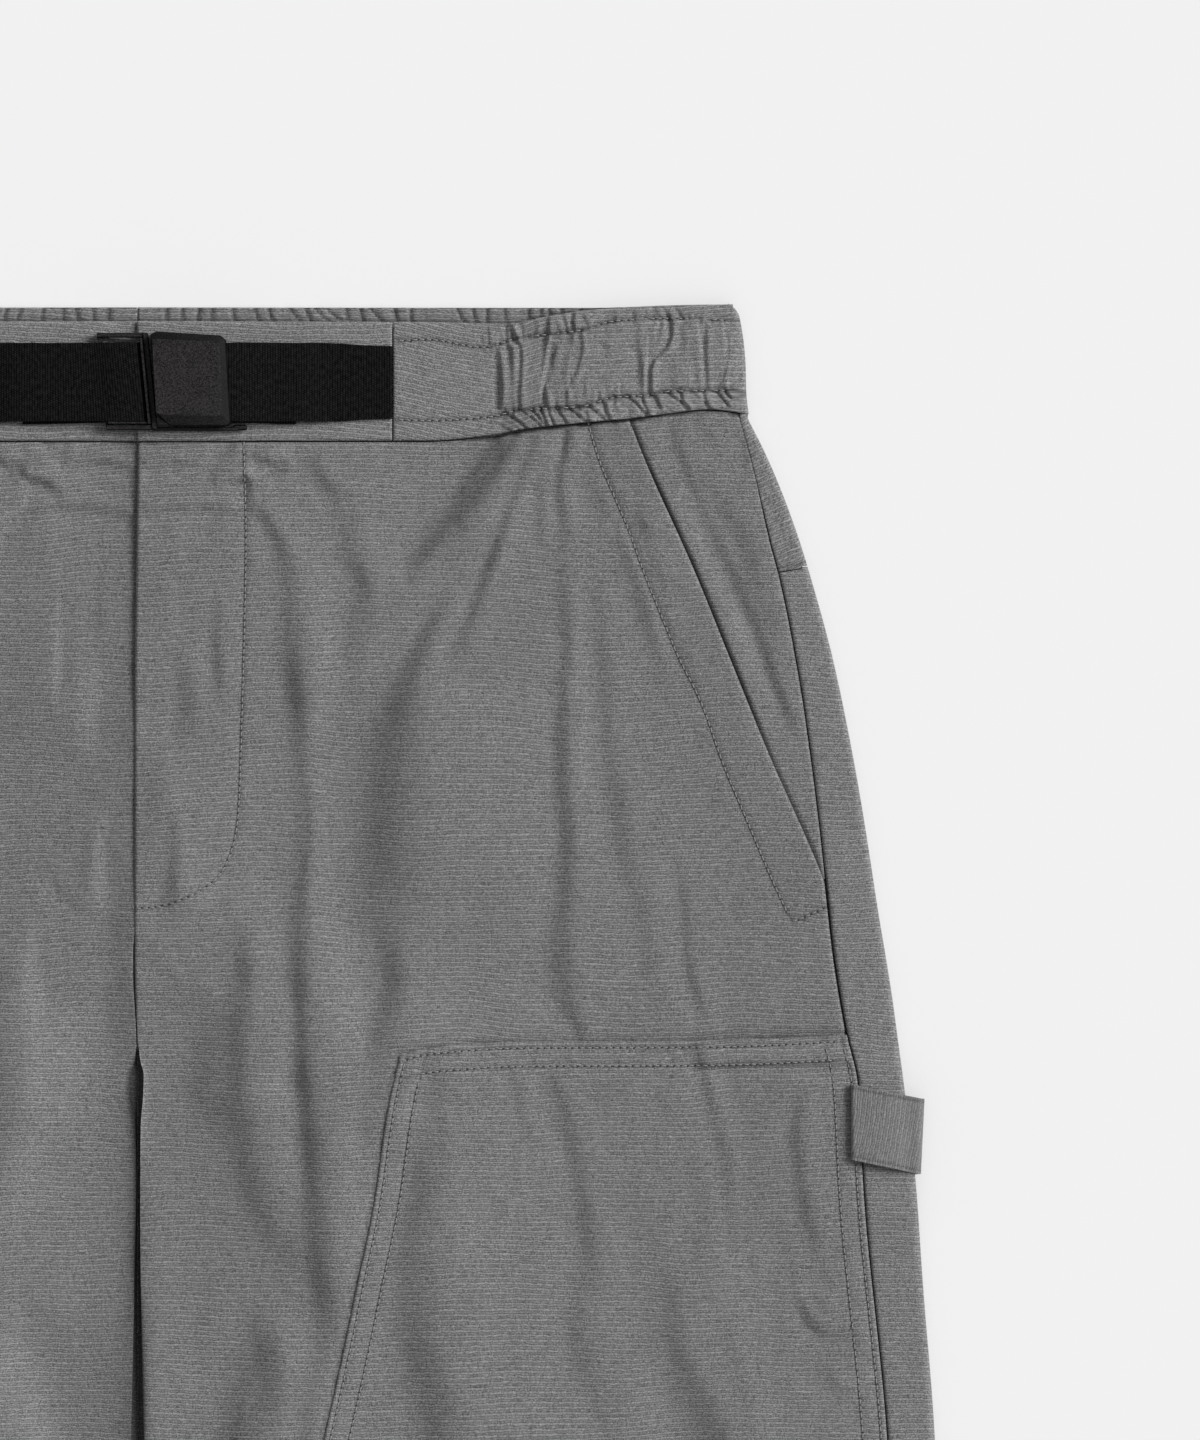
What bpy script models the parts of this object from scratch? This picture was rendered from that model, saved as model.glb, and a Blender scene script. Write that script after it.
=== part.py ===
"""Work trousers that lie flat with their front side up.

Every cut-and-sewn piece is one closed object. The waist points to +Y and the
garment rests on the plane z = 0. Sizes are in millimetres until a mesh is made:
x runs out from the centre front, drop is the distance below the waistband's top
edge, and z is the height above the plane that the trousers lie on.
"""

import math
from collections import namedtuple

import bmesh
import bpy
import numpy as np
from mathutils import Vector

MM = 0.001

# Driving dimensions.
LENGTH = 1030.0  # waistband's top edge to hem
CLOTH = 1.0  # wall of one panel
BAND_WALL = 1.5  # waistband, cloth round elastic
SEAM_GAP = 0.4  # between two panels that are sewn together
WAIST_GAP = 0.45  # from the waist seam's line to the panels below it
LAYER_GAP = 0.35  # between two layers that lie on each other
BASE = 4.8  # top of the front panels
SIDE_TOP = 4.4  # top of the back panels' strip beside the pocket
SIDE_TOP_KNEE = 5.0  # the same beside the knee panel
HIP_TOP = 4.3  # hip piece inside the pocket opening
HIP_UNDER = 28.0  # how far the hip piece reaches under the front
HIP_DIP = 1.35  # and how much lower it lies there
POCKET_RISE = 0.95  # the front stands this much higher along the pocket opening
KNEE_PRESS = 0.6  # and lies this much lower under the knee panel
LOWEST_FRONT = 2.6  # the deepest fold still clears the back panel
BAND_TOP = 5.1  # top of the waistband's flat front section
BAND_GATHERED = 5.7  # mean top of its gathered section
BAND_SIDE = 5.2  # its height at the side fold
BAND_SPLIT = 98.2  # seam between the flat and the gathered section
FLAT_END = 137.0  # where the gathers start
FLY_OVERLAP = 6.0  # the right front reaches this far under the left one
FLY_DIP = 1.5  # and lies this much lower there
FLY_END = 225.0  # drop of the fly's lower end
CROTCH = 285.0  # drop of the crotch point
ROLL = 3.0  # width of the rounded inner leg edge
INSEAM_FRONT = 2.9  # height of the front's inner leg edge
INSEAM_BACK = 1.5  # height of the back's
INSEAM_FLAT = 2.4  # the back lies flat up to this far from its inner edge
YOKE_AT_SIDE = 101.3  # drop of the yoke seam where it crosses the side strip
YOKE_SLOPE = 0.17  # and its slope there, drop per x
YOKE_SEAM_X = 257.0  # x of that place
KNEE_BOTTOM = 730.0  # drop of the knee panel's low edge
WEBBING = 1.3
WEBBING_WIDTH = 30.2
WEBBING_CENTRE = 29.8  # drop of the webbing's middle at the buckle
BELT_TAPER = 1.0  # the webbing's edges close in by this at its sewn end
TAIL_SLIP = 1.0  # the tail behind it ends this much lower
LOOP_WALL = 1.6
LOOP_WIDTH = 29.0
LOOP_FOLD = 298.4  # x of the centre of the loop's outer fold
LOOP_FOLD_RADIUS = 3.4
LOOP_ROLL = 275.6  # x of the centre of its rolled inner edge
LOOP_TOP = 299.7  # drop of its top edge at that roll
LOOP_SLOPE = 0.21  # its edges run down by this, drop per x
LOOP_LIFT = 1.95  # what lies on the loop's rear layer is raised by this
ZIP_TOP = 56.0
ZIP_LENGTH = 164.0
ZIP_WALL = 0.8

# Outlines, each row a drop and an x.
OUTER_EDGE = (
    (44, 234.8), (56, 242.0), (68, 247.3), (100, 257.6), (136, 267.5),
    (179, 276.4), (230, 284.2), (267, 290.3), (302, 294.9), (336, 299.0),
    (380, 302.2), (436, 306.5), (500, 309.0), (560, 310.0), (640, 309.0),
    (740, 305.0), (860, 299.0), (LENGTH, 291.0),
)
SIDE_SEAM = (
    (44, 234.5), (63, 237.2), (78, 241.0), (106, 248.0), (150, 255.6),
    (199, 262.2), (234, 266.0), (251, 268.0), (281, 273.0), (299, 277.0),
    (342, 279.4), (436, 288.4), (500, 291.5), (640, 293.0), (740, 289.5),
    (860, 283.0), (LENGTH, 274.0),
)
INNER_EDGE = (
    (CROTCH, 0.8), (436, 2.4), (520, 5.5), (620, 12.0), (740, 21.0),
    (860, 31.0), (LENGTH, 46.0),
)
FLY_EDGE = ((52, 0.2), (165, -1.2), (252, -1.5), (272, -0.2), (CROTCH, 0.8))
POCKET_EDGE = (
    (44.7, 189.6), (62.4, 196.7), (102, 214.4), (136.7, 228.5),
    (173.6, 243.5), (207.5, 258.6), (222, 264.4),
)
KNEE_EDGE = (
    (286, 101.6), (308, 96.6), (346, 90.9), (380, 83.9), (411, 77.4),
    (436, 71.8), (560, 46.0), (650, 28.0), (700, 25.5), (KNEE_BOTTOM, 28.0),
)
# Edges that run across, each row an x and a drop.
WAIST_SEAM = (
    (0, 52.4), (112, 51.8), (137, 49.7), (148, 48.1), (171, 45.8),
    (188, 44.3), (203, 42.4), (220, 40.6), (235, 42.4),
)
BAND_FRONT_EDGE = (
    (0, 6.4), (112, 6.8), (142, 7.4), (158, 4.6), (174, 2.2), (208, 0.3), (228, 0.0),
)
BAND_BACK_EDGE = ((0, 1.0), (174, 1.2), (208, 0.2), (228, 0.0))
BAND_OUTER_EDGE = ((0, 229.4), (5, 231.6), (23, 233.4), (34, 233.6), (42.4, 234.9))
BACK_WAIST_SEAM = ((0, 46.0), (235, 42.4))
YOKE_SEAM = ((0, 128.0), (120, 116.0), (248, 101.2), (262, 100.4))
KNEE_TOP = (
    (101, 288.8), (107, 286.6), (114, 285.4), (145, 283.4), (220, 283.0), (274, 280.7),
)

# Rows of the panels' grids, and the drops that the hip piece and the yoke use.
ROWS = (
    52, 60, 70, 84, 103, 126, 150, 178, 205, 222, 242, 262, 281, 300, 318, 336,
    354, 380, 415, 450, 500, 560, 630, 700, 730, 800, 910, LENGTH,
)
HIP_ROWS = (44, 52, 62, 84, 103, 126, 150, 178, 205, 221)
YOKE_SHARES = (0.0, 0.14, 0.34, 0.68, 1.0)

# Columns of a back panel's grid: round the side, along the underside as shares of its
# width, then up the inner leg edge, each row there an inset from the edge and a height.
WRAP_COLUMNS = 7
FLAT_SHARES = (0.06, 0.13, 0.22, 0.45, 0.7, 1.0)
INSEAM_TURN = ((0.6, 0.65), (0.0, INSEAM_BACK))
BACK_COLUMNS = WRAP_COLUMNS + len(FLAT_SHARES) + len(INSEAM_TURN)

# A fold is a soft trough, or a ridge where its depth is positive, down the panel.
# Each row of its path is a drop, an x and the share of the full depth there.
Fold = namedtuple("Fold", "name half_width depth path")
FOLDS = (
    Fold("inner thigh", 11, -1.5, (
        (52, 24, 0), (200, 36, 0), (241, 41, 0.7), (279, 28, 1), (314, 33, 1),
        (360, 45, 0.9), (402, 50, 0.7), (470, 44, 0.4), (560, 22, 0.2), (LENGTH, 70, 0))),
    Fold("below the fly", 6, -1.0, (
        (52, 46, 0), (77, 47, 0.6), (148, 60, 0.9), (264, 64, 1), (379, 68, 1),
        (420, 62, 0.5), (500, 50, 0.3), (600, 30, 0), (LENGTH, 100, 0))),
    Fold("hip to knee", 11, -1.8, (
        (52, 141, 0.7), (75, 122, 0.8), (100, 107, 0.3), (125, 109, 0.8), (155, 98, 1),
        (194, 88, 1), (225, 91, 0.9), (264, 98, 0.8), (286, 101.6, 0.7), (308, 96.6, 0.5),
        (346, 90.9, 0.4), (380, 83.9, 0.3), (436, 71.8, 0.2), (560, 46, 0), (700, 25.5, 0),
        (LENGTH, 130, 0))),
    Fold("overlay inner", 8, -1.0, (
        (281, 117, 0), (302, 111, 0.8), (360, 108.6, 1), (418, 114, 1), (500, 118, 0.5),
        (620, 124, 0.2), (LENGTH, 150, 0))),
    Fold("thigh middle", 8, -1.2, (
        (52, 163, 0.8), (121, 164, 1), (194, 162.5, 1), (277, 164, 0.6), (329, 163, 0.8),
        (364, 168, 1), (418, 168, 0.9), (520, 172, 0.7), (640, 176, 0.4), (LENGTH, 178, 0.2))),
    Fold("below the pocket", 7, -0.7, (
        (52, 176, 0.3), (120, 178, 0.7), (164, 182, 1), (240, 197, 1), (290, 214, 0.8),
        (329, 224, 1), (364, 229, 1), (420, 226, 0.8), (560, 228, 0.4), (LENGTH, 226, 0.2))),
    Fold("short crease", 7, -0.8, (
        (52, 157, 0.6), (98, 139, 1), (137, 122, 0.6), (170, 112, 0), (LENGTH, 112, 0))),
    Fold("swell by the fly", 13, 0.8, (
        (52, 80, 0), (120, 80, 0.8), (230, 78, 1), (330, 80, 0.3), (400, 76, 0), (LENGTH, 76, 0))),
    Fold("swell of the thigh", 15, 0.7, (
        (52, 138, 0), (150, 132, 0.8), (250, 130, 1), (340, 138, 0.8), (460, 142, 0.8),
        (620, 146, 0.5), (LENGTH, 150, 0))),
    Fold("outer swell", 12, 0.6, (
        (230, 232, 0), (300, 240, 0.3), (420, 250, 1), (520, 255, 0.7), (LENGTH, 245, 0.1))),
)
# Columns of a front's grid follow these folds.
COLUMN_FOLDS = [fold for fold in FOLDS if fold.name in (
    "inner thigh", "below the fly", "hip to knee", "thigh middle", "below the pocket")]

# Gathers of the elastic at the front: x at the band's top and low edge, then the
# depth in the upper channel, the main band and the lower channel.
Gather = namedtuple("Gather", "top_x low_x upper main lower")
GATHERS = (
    Gather(139.0, 138.6, 0.5, 0.6, 0.7), Gather(142.2, 143.2, 0.7, 0.3, 0.9),
    Gather(145.6, 147.8, 1.0, 0.9, 0.8), Gather(149.6, 152.8, 1.0, 1.0, 1.0),
    Gather(154.2, 157.5, 0.5, 0.2, 0.9), Gather(159.0, 162.5, 1.2, 1.2, 1.0),
    Gather(163.4, 167.9, 0.9, 0.3, 0.8), Gather(167.6, 173.2, 1.1, 0.2, 0.9),
    Gather(172.0, 178.3, 1.2, 1.0, 0.7), Gather(177.6, 183.3, 0.3, 0.2, 0.6),
    Gather(183.6, 188.3, 0.3, 0.1, 0.8), Gather(190.4, 193.3, 0.2, 0.1, 0.8),
    Gather(197.6, 198.3, 0.3, 0.3, 0.9), Gather(205.2, 203.7, 1.0, 1.2, 1.0),
    Gather(210.4, 209.1, 0.6, 0.3, 0.8), Gather(216.4, 214.4, 0.3, 0.6, 0.8),
    Gather(221.6, 219.8, 0.4, 0.3, 0.7), Gather(226.6, 225.4, 0.4, 0.5, 0.7),
)
BAND_ROWS = (0.0, 0.17, 0.78, 1.0)
BACK_GATHERS = 28  # along half of the back waistband
BACK_GATHER_SHARE = 0.55  # of the wall, in a gather's valley

# Buckle: outlines of x and drop, and heights.
COVER_OUTLINE = (
    (5.4, 12.0), (7.7, 10.8), (32.3, 12.3), (34.3, 13.9),
    (36.2, 46.0), (35.2, 47.0), (13.1, 47.0), (8.5, 43.9),
)
COVER_FACE = (
    (6.0, 14.6), (6.8, 14.0), (31.0, 15.0), (31.8, 15.8),
    (33.0, 42.4), (32.4, 43.1), (8.4, 42.6), (7.5, 41.8),
)
BUCKLE_FLOOR = 5.45
CAVITY_TOP = 11.85
COVER_SHOULDER = 12.8
COVER_TOP = 14.6
BAR_RADIUS = 1.5
BAR_HEIGHT = 8.5
BAR_COVER = 29.0  # x of the cover's bar
BAR_LATCH = 0.0  # x of the latch's bar
LATCH_SKEW = 0.1  # the latch leans by this, x per drop
LATCH_RIM = 10.3

FINISHES = {
    "cloth": ((0.170, 0.172, 0.170), 0.95, 0.0),
    "webbing": ((0.010, 0.010, 0.011), 0.85, 0.0),
    "buckle": ((0.030, 0.028, 0.028), 0.50, 0.0),
    "zip": ((0.030, 0.030, 0.031), 0.70, 0.0),
}


def smooth(rows, station):
    """The value at a station of a curve through (station, value) rows, with no overshoot."""
    at, value = np.array(rows, float).T
    step = np.diff(at)
    rise = np.diff(value) / step
    slope = np.concatenate([rise[:1], np.zeros(len(at) - 2), rise[-1:]])
    for i in range(1, len(at) - 1):
        if rise[i - 1] * rise[i] > 0:
            slope[i] = 2 / (1 / rise[i - 1] + 1 / rise[i])
    place = np.clip(np.asarray(station, float), at[0], at[-1])
    i = np.clip(np.searchsorted(at, place) - 1, 0, len(step) - 1)
    t = (place - at[i]) / step[i]
    ahead = value[i + 1] - value[i]
    bend = t * (1 - t) ** 2 * slope[i] - t * t * (1 - t) * slope[i + 1]
    return value[i] + ahead * t * t * (3 - 2 * t) + bend * step[i]


def ramp(low, high, value):
    """0 below low, 1 above high, and a soft rise between them."""
    t = np.clip((np.asarray(value, float) - low) / (high - low), 0, 1)
    return t * t * (3 - 2 * t)


def at(x, drop, z):
    """A point of the garment in metres."""
    return Vector((x * MM, (LENGTH / 2 - drop) * MM, z * MM))


# Heights of the garment's layers.


def loop_lift(x, drop, side):
    """What the hammer loop's rear layer raises, on the wearer's left leg only."""
    if side < 0:
        return np.zeros(np.broadcast(x, drop).shape)
    down = ramp(280, 302, drop) * (1 - ramp(344, 366, drop))
    return LOOP_LIFT * down * ramp(224, 256, x)


def side_top(drop):
    """Top of the back panel's strip at the side fold."""
    return SIDE_TOP + (SIDE_TOP_KNEE - SIDE_TOP) * ramp(245, 300, drop)


def side_roll(x, drop):
    """How far a layer has turned down at x, beyond the start of the side fold."""
    radius = side_top(drop) / 2
    beyond = np.clip(x - (smooth(OUTER_EDGE, drop) - radius), 0, radius * 0.98)
    return radius - np.sqrt(radius**2 - beyond**2)


def front_height(x, drop, side):
    """Top of the front panel where nothing covers it."""
    z = np.full(np.broadcast(x, drop).shape, BASE)
    for fold in FOLDS:
        path = [(row[0], row[1]) for row in fold.path]
        share = [(row[0], row[2]) for row in fold.path]
        off = (x - smooth(path, drop)) / fold.half_width
        z = z + fold.depth * smooth(share, drop) * np.exp(-(off**2))
    to_pocket = smooth(POCKET_EDGE, drop) - x
    pocket = POCKET_RISE * (1 - ramp(2, 34, to_pocket)) * (1 - ramp(224, 250, drop))
    waist = ramp(46, 84, drop)
    z = BASE + (z - BASE) * waist + pocket
    if side < 0:
        z = z - FLY_DIP * (1 - ramp(4, 14, x)) * (1 - ramp(FLY_END + 36, CROTCH, drop))
    return np.maximum(z, LOWEST_FRONT) + loop_lift(x, drop, side)


def under_knee(x, drop):
    """1 well inside the knee panel's outline, and 0 at its edges and outside it."""
    from_top = drop - smooth(KNEE_TOP, x)
    from_edge = x - smooth(KNEE_EDGE, drop)
    from_side = smooth(SIDE_SEAM, drop) - x
    from_bottom = KNEE_BOTTOM - drop
    nearest = np.minimum(np.minimum(from_top, from_edge), np.minimum(from_side, from_bottom))
    return ramp(2, 18, nearest)


def band_height(x, side):
    """Mean top of the waistband's front."""
    z = BAND_TOP + (BAND_GATHERED - BAND_TOP) * ramp(FLAT_END - 8, FLAT_END + 12, x)
    z = z - (BAND_GATHERED - BAND_SIDE) * ramp(212, 230, x)
    if side < 0:
        z = z - (BAND_WALL + 0.3) * (1 - ramp(4, 16, x))
    return z


# Meshes.


def finish_of(name):
    """A material of the named finish, made once."""
    found = bpy.data.materials.get(name)
    if found:
        return found
    color, roughness, metallic = FINISHES[name]
    material = bpy.data.materials.new(name)
    material.use_nodes = True
    shader = material.node_tree.nodes["Principled BSDF"]
    shader.inputs["Base Color"].default_value = (*color, 1.0)
    shader.inputs["Roughness"].default_value = roughness
    shader.inputs["Metallic"].default_value = metallic
    return material


def add_object(name, solid, finish, folder):
    """An object made from a bmesh, with its material, in the named collection."""
    mesh = bpy.data.meshes.new(name)
    solid.to_mesh(mesh)
    solid.free()
    mesh.materials.append(finish_of(finish))
    obj = bpy.data.objects.new(name, mesh)
    bpy.data.collections[folder].objects.link(obj)
    return obj


def cloth(name, place, across, down, wall, side=1, finish="cloth", inward=-1.0):
    """A wall of cloth on a grid. place(u, v) gives x, drop, z and the share of the wall."""
    sheet = bmesh.new()
    bmesh.ops.create_grid(sheet, x_segments=across, y_segments=down, size=1.0)
    u = np.array([(point.co.x + 1) / 2 for point in sheet.verts])
    v = np.array([(1 - point.co.y) / 2 for point in sheet.verts])
    x, drop, z, share = place(u, v)
    for i, point in enumerate(sheet.verts):
        point.co = at(side * x[i], drop[i], z[i])
    if side < 0:
        bmesh.ops.reverse_faces(sheet, faces=sheet.faces)
    obj = add_object(name, sheet, finish, "work_trousers")
    obj.data.shade_smooth()
    group = obj.vertex_groups.new(name="wall")
    for i in range(len(x)):
        group.add([i], float(share[i]), "REPLACE")
    solidify = obj.modifiers.new("wall", "SOLIDIFY")
    solidify.thickness = wall * MM
    solidify.offset = inward
    solidify.vertex_group = group.name
    return obj


def lines_at(lines, u):
    """Picks, for each point, the grid line that its u stands for."""
    table = np.array(lines)
    column = np.rint(u * (len(lines) - 1)).astype(int)
    return table[column, np.arange(len(u))]


def row_drops(rows, v):
    """The nominal drop of each point's grid row."""
    return np.array(rows, float)[np.rint(v * (len(rows) - 1)).astype(int)]


# Front panels.


def front_side_edge(drop):
    """The front's outer edge: the pocket opening, and the side seam below it."""
    seam = smooth(SIDE_SEAM, drop) - SEAM_GAP / 2
    return np.minimum(np.where(drop < 222, smooth(POCKET_EDGE, drop), seam), seam)


def front_inner_edge(drop, side):
    """The front's inner edge: at the fly, and down the inner leg."""
    inner = smooth(INNER_EDGE, drop)
    if side > 0:
        return np.where(drop < CROTCH, smooth(FLY_EDGE, drop), inner)
    under = -FLY_OVERLAP + (FLY_OVERLAP + 2.2) * ramp(FLY_END, FLY_END + 34, drop)
    return np.where(drop < CROTCH, under - 1.4 * ramp(262, CROTCH, drop), inner)


def front_lines(drop, side):
    """The x of a front's grid lines: its edges, its main folds and places between them."""
    low, high = front_inner_edge(drop, side), front_side_edge(drop)
    folds = [smooth([(row[0], row[1]) for row in fold.path], drop) for fold in COLUMN_FOLDS]
    thigh, fly, knee, middle, pocket = folds
    knee = np.maximum(knee, low + 7.5)
    fly = np.minimum(np.maximum(fly, low + 5.8), knee - 1.5)
    thigh = np.minimum(np.maximum(thigh, low + 4.2), fly - 1.2)
    pocket = np.minimum(pocket, high - 9)
    middle = np.minimum(middle, pocket - 9)
    return [
        low, low + 0.9, low + ROLL, thigh, fly,
        fly + (knee - fly) / 3, fly + (knee - fly) * 2 / 3, knee,
        knee + (middle - knee) * 0.22, (knee + middle) / 2, middle,
        (middle + pocket) / 2, pocket, pocket + (high - pocket) / 3,
        pocket + (high - pocket) * 2 / 3, high,
    ]


KNEE_LINE = 7  # the grid line that is the knee panel's slanted edge


def front_panel(name, side):
    def place(u, v):
        nominal = row_drops(ROWS, v)
        x = lines_at(front_lines(nominal, side), u)
        to_seam = (smooth(WAIST_SEAM, x) + WAIST_GAP - ROWS[0]) * (1 - ramp(52, 100, nominal))
        drop = nominal + to_seam
        x = lines_at(front_lines(drop, side), u)
        z = front_height(x, drop, side) - KNEE_PRESS * under_knee(x, drop)
        turn = np.clip((x - front_inner_edge(drop, side)) / ROLL, 0, 1)
        rolled = INSEAM_FRONT + (z - INSEAM_FRONT) * np.sqrt(1 - (1 - turn) ** 2)
        z = z + (rolled - z) * ramp(CROTCH - 12, CROTCH + 15, drop)
        return x, drop, z, np.ones(len(x))

    return cloth(name, place, len(front_lines(300.0, side)) - 1, len(ROWS) - 1, CLOTH, side)


def hip_panel(name, side):
    """The pocket's back layer, which shows in the opening and reaches under the front."""

    def place(u, v):
        nominal = row_drops(HIP_ROWS, v)
        low = smooth(POCKET_EDGE, nominal) - HIP_UNDER
        high = smooth(SIDE_SEAM, nominal) - SEAM_GAP / 2
        x = low + (high - low) * u
        to_seam = (smooth(WAIST_SEAM, x) + WAIST_GAP - HIP_ROWS[0]) * (1 - ramp(44, 84, nominal))
        drop = nominal + to_seam
        under = ramp(-2, 20, smooth(POCKET_EDGE, drop) - x)
        z = HIP_TOP - HIP_DIP * under - side_roll(x, drop)
        return x, drop, z, np.ones(len(x))

    return cloth(name, place, 6, len(HIP_ROWS) - 1, CLOTH, side)


# Back panels and yokes, which wrap round the side fold.


def wrapped_section(u, drop, side):
    """x, z and whether a point is past the strip's flat top, round a back panel's section."""
    seam = smooth(SIDE_SEAM, drop) + SEAM_GAP / 2
    top = side_top(drop)
    radius = top / 2
    centre = smooth(OUTER_EDGE, drop) - radius
    start = np.arccos(np.clip((seam - centre) / radius, 0, 1))
    straight = np.maximum(centre - seam, 0)
    whole = straight + radius * (start + math.pi / 2)
    inner = np.where(drop > CROTCH, smooth(INNER_EDGE, drop), SEAM_GAP / 2)
    legs = ramp(CROTCH - 2, CROTCH + 20, drop)

    column = np.rint(u * BACK_COLUMNS).astype(int)
    part = 1 - (1 - np.clip(column / WRAP_COLUMNS, 0, 1)) ** 1.5
    along = part * whole - straight
    angle = start - np.maximum(along, 0) / radius
    x = np.where(along < 0, centre + along, centre + radius * np.cos(angle))
    z = np.where(along < 0, top, radius + radius * np.sin(angle))

    flat_end = inner + INSEAM_FLAT
    shares = (0.0, *FLAT_SHARES)
    share = np.interp(column - WRAP_COLUMNS, range(len(shares)), shares)
    on_flat = column > WRAP_COLUMNS
    x = np.where(on_flat, centre + (flat_end - centre) * share, x)
    z = np.where(on_flat, 0.0, z)
    for step, (inset, rise) in enumerate(INSEAM_TURN, 1):
        here = column == WRAP_COLUMNS + len(FLAT_SHARES) + step
        flat_x = inner + INSEAM_FLAT * (1 - step / len(INSEAM_TURN))
        x = np.where(here, flat_x + (inner + inset - flat_x) * legs, x)
        z = np.where(here, rise * legs, z)
    return x, z + loop_lift(x, drop, side), along > 0


def yoke_seam(x, beneath):
    """Drop of the seam between yoke and back panel, on the underside and on the side strip."""
    on_strip = YOKE_AT_SIDE + (YOKE_SEAM_X - x) * YOKE_SLOPE
    return np.where(beneath, smooth(YOKE_SEAM, x), on_strip)


def back_panel(name, side):
    rows = ROWS[ROWS.index(103):]

    def place(u, v):
        nominal = row_drops(rows, v)
        x, z, beneath = wrapped_section(u, nominal, side)
        to_seam = yoke_seam(x, beneath) + SEAM_GAP / 2 - rows[0]
        drop = nominal + to_seam * (1 - ramp(rows[0], 150, nominal))
        x, z, beneath = wrapped_section(u, drop, side)
        return x, drop, z, np.ones(len(x))

    return cloth(name, place, BACK_COLUMNS, len(rows) - 1, CLOTH, side)


def yoke(name, side):
    def place(u, v):
        share = np.array(YOKE_SHARES)[np.rint(v * (len(YOKE_SHARES) - 1)).astype(int)]
        waist, seam = 44.0, YOKE_AT_SIDE
        for _ in range(3):
            x, z, beneath = wrapped_section(u, waist + (seam - waist) * share, side)
            waist = np.where(beneath, smooth(BACK_WAIST_SEAM, x), smooth(WAIST_SEAM, x)) + WAIST_GAP
            seam = yoke_seam(x, beneath) - SEAM_GAP / 2
        return x, waist + (seam - waist) * share, z, np.ones(len(x))

    return cloth(name, place, BACK_COLUMNS, len(YOKE_SHARES) - 1, CLOTH, side)


# Knee panels, on the front's own points.


def knee_panel(name, side):
    rows = ROWS[ROWS.index(281):ROWS.index(730) + 1]

    def place(u, v):
        nominal = row_drops(rows, v)
        x = lines_at(front_lines(nominal, side)[KNEE_LINE:], u)
        drop = nominal + (smooth(KNEE_TOP, x) - rows[0]) * (1 - ramp(rows[0], 300, nominal))
        x = lines_at(front_lines(np.maximum(drop, 286), side)[KNEE_LINE:], u)
        z = front_height(x, drop, side) + LAYER_GAP + CLOTH
        return x, drop, z, np.ones(len(x))

    columns = len(front_lines(300.0, side)) - 1 - KNEE_LINE
    return cloth(name, place, columns, len(rows) - 1, CLOTH, side)


# Waistband.


def band_flat(name, side):
    """The flat front section, from the centre front to the seam at the webbing's end."""
    low = 0.0 if side > 0 else -FLY_OVERLAP

    def place(u, v):
        x = low + (BAND_SPLIT - SEAM_GAP / 2 - low) * u**1.5
        top, bottom = smooth(BAND_FRONT_EDGE, x), smooth(WAIST_SEAM, x) - SEAM_GAP / 2
        return x, top + (bottom - top) * v, band_height(x, side), np.ones(len(x))

    return cloth(name, place, 8, 3, BAND_WALL, side)


def band_lines(v, side):
    """x, z, wall share and whether it is on the underside, for each line of the elastic section."""
    outer = smooth(BAND_OUTER_EDGE, 42.4 * v)
    radius = BAND_SIDE / 2
    lines = []
    for x in (BAND_SPLIT + SEAM_GAP / 2, 111.0, 124.0, FLAT_END - 1):
        lines.append((x, band_height(x, side), 1.0, False))
    valleys = [g.top_x + (g.low_x - g.top_x) * v for g in GATHERS]
    across = (0, 0.17, 0.5, 0.78, 1)
    depths = [np.interp(v, across, (g.upper, g.upper, g.main, g.lower, g.lower)) for g in GATHERS]
    ridges = [(a + b) / 2 for a, b in zip(valleys, valleys[1:])] + [valleys[-1] + 2.4]
    rises = [(a + b) / 4 for a, b in zip(depths, depths[1:])] + [0.1]
    for valley, depth, ridge, rise in zip(valleys, depths, ridges, rises):
        lines.append((valley, band_height(valley, side) - depth, 1.0, False))
        lines.append((ridge, band_height(ridge, side) + rise, 1.0, False))
    for angle in (72, 36, 0, -36, -72):
        turn = math.radians(angle)
        x = outer - radius + radius * math.cos(turn)
        lines.append((x, radius + radius * math.sin(turn), 1.0, angle < 0))
    pitch = (outer - radius - 1.0) / BACK_GATHERS
    for k in range(BACK_GATHERS):
        ridge = outer - radius - pitch * (k + 0.15)
        uneven = 0.12 * math.sin(2.4 * k)
        lines.append((ridge, 0.0, 1.0, True))
        lines.append((ridge - pitch * (0.5 + uneven), 0.0, BACK_GATHER_SHARE + uneven, True))
    lines.append((SEAM_GAP / 2, 0.0, 1.0, True))
    return lines


def band_elastic(name, side):
    """The gathered section, round the side fold to the centre back."""
    across = len(band_lines(0.0, side)) - 1

    def place(u, v):
        points = []
        for column, part in zip(np.rint(u * across).astype(int), v):
            share = BAND_ROWS[int(round(part * (len(BAND_ROWS) - 1)))]
            x, z, wall, beneath = band_lines(share, side)[column]
            if beneath:
                top, bottom = smooth(BAND_BACK_EDGE, x), smooth(BACK_WAIST_SEAM, x)
            else:
                top, bottom = smooth(BAND_FRONT_EDGE, x), smooth(WAIST_SEAM, x)
            points.append((x, top + (bottom - SEAM_GAP / 2 - top) * share, z, wall))
        return np.array(points, float).T

    return cloth(name, place, across, len(BAND_ROWS) - 1, BAND_WALL, side)


# Strips: webbing and the hammer loop, each along a path of stations.


Station = namedtuple("Station", "x z high low lean")


def turn(x, z, radius, first, last, steps):
    """Points of x and z round a centre, from one angle to another in degrees."""
    for step in range(steps + 1):
        angle = math.radians(first + (last - first) * step / steps)
        yield x + radius * math.cos(angle), z + radius * math.sin(angle)


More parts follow.
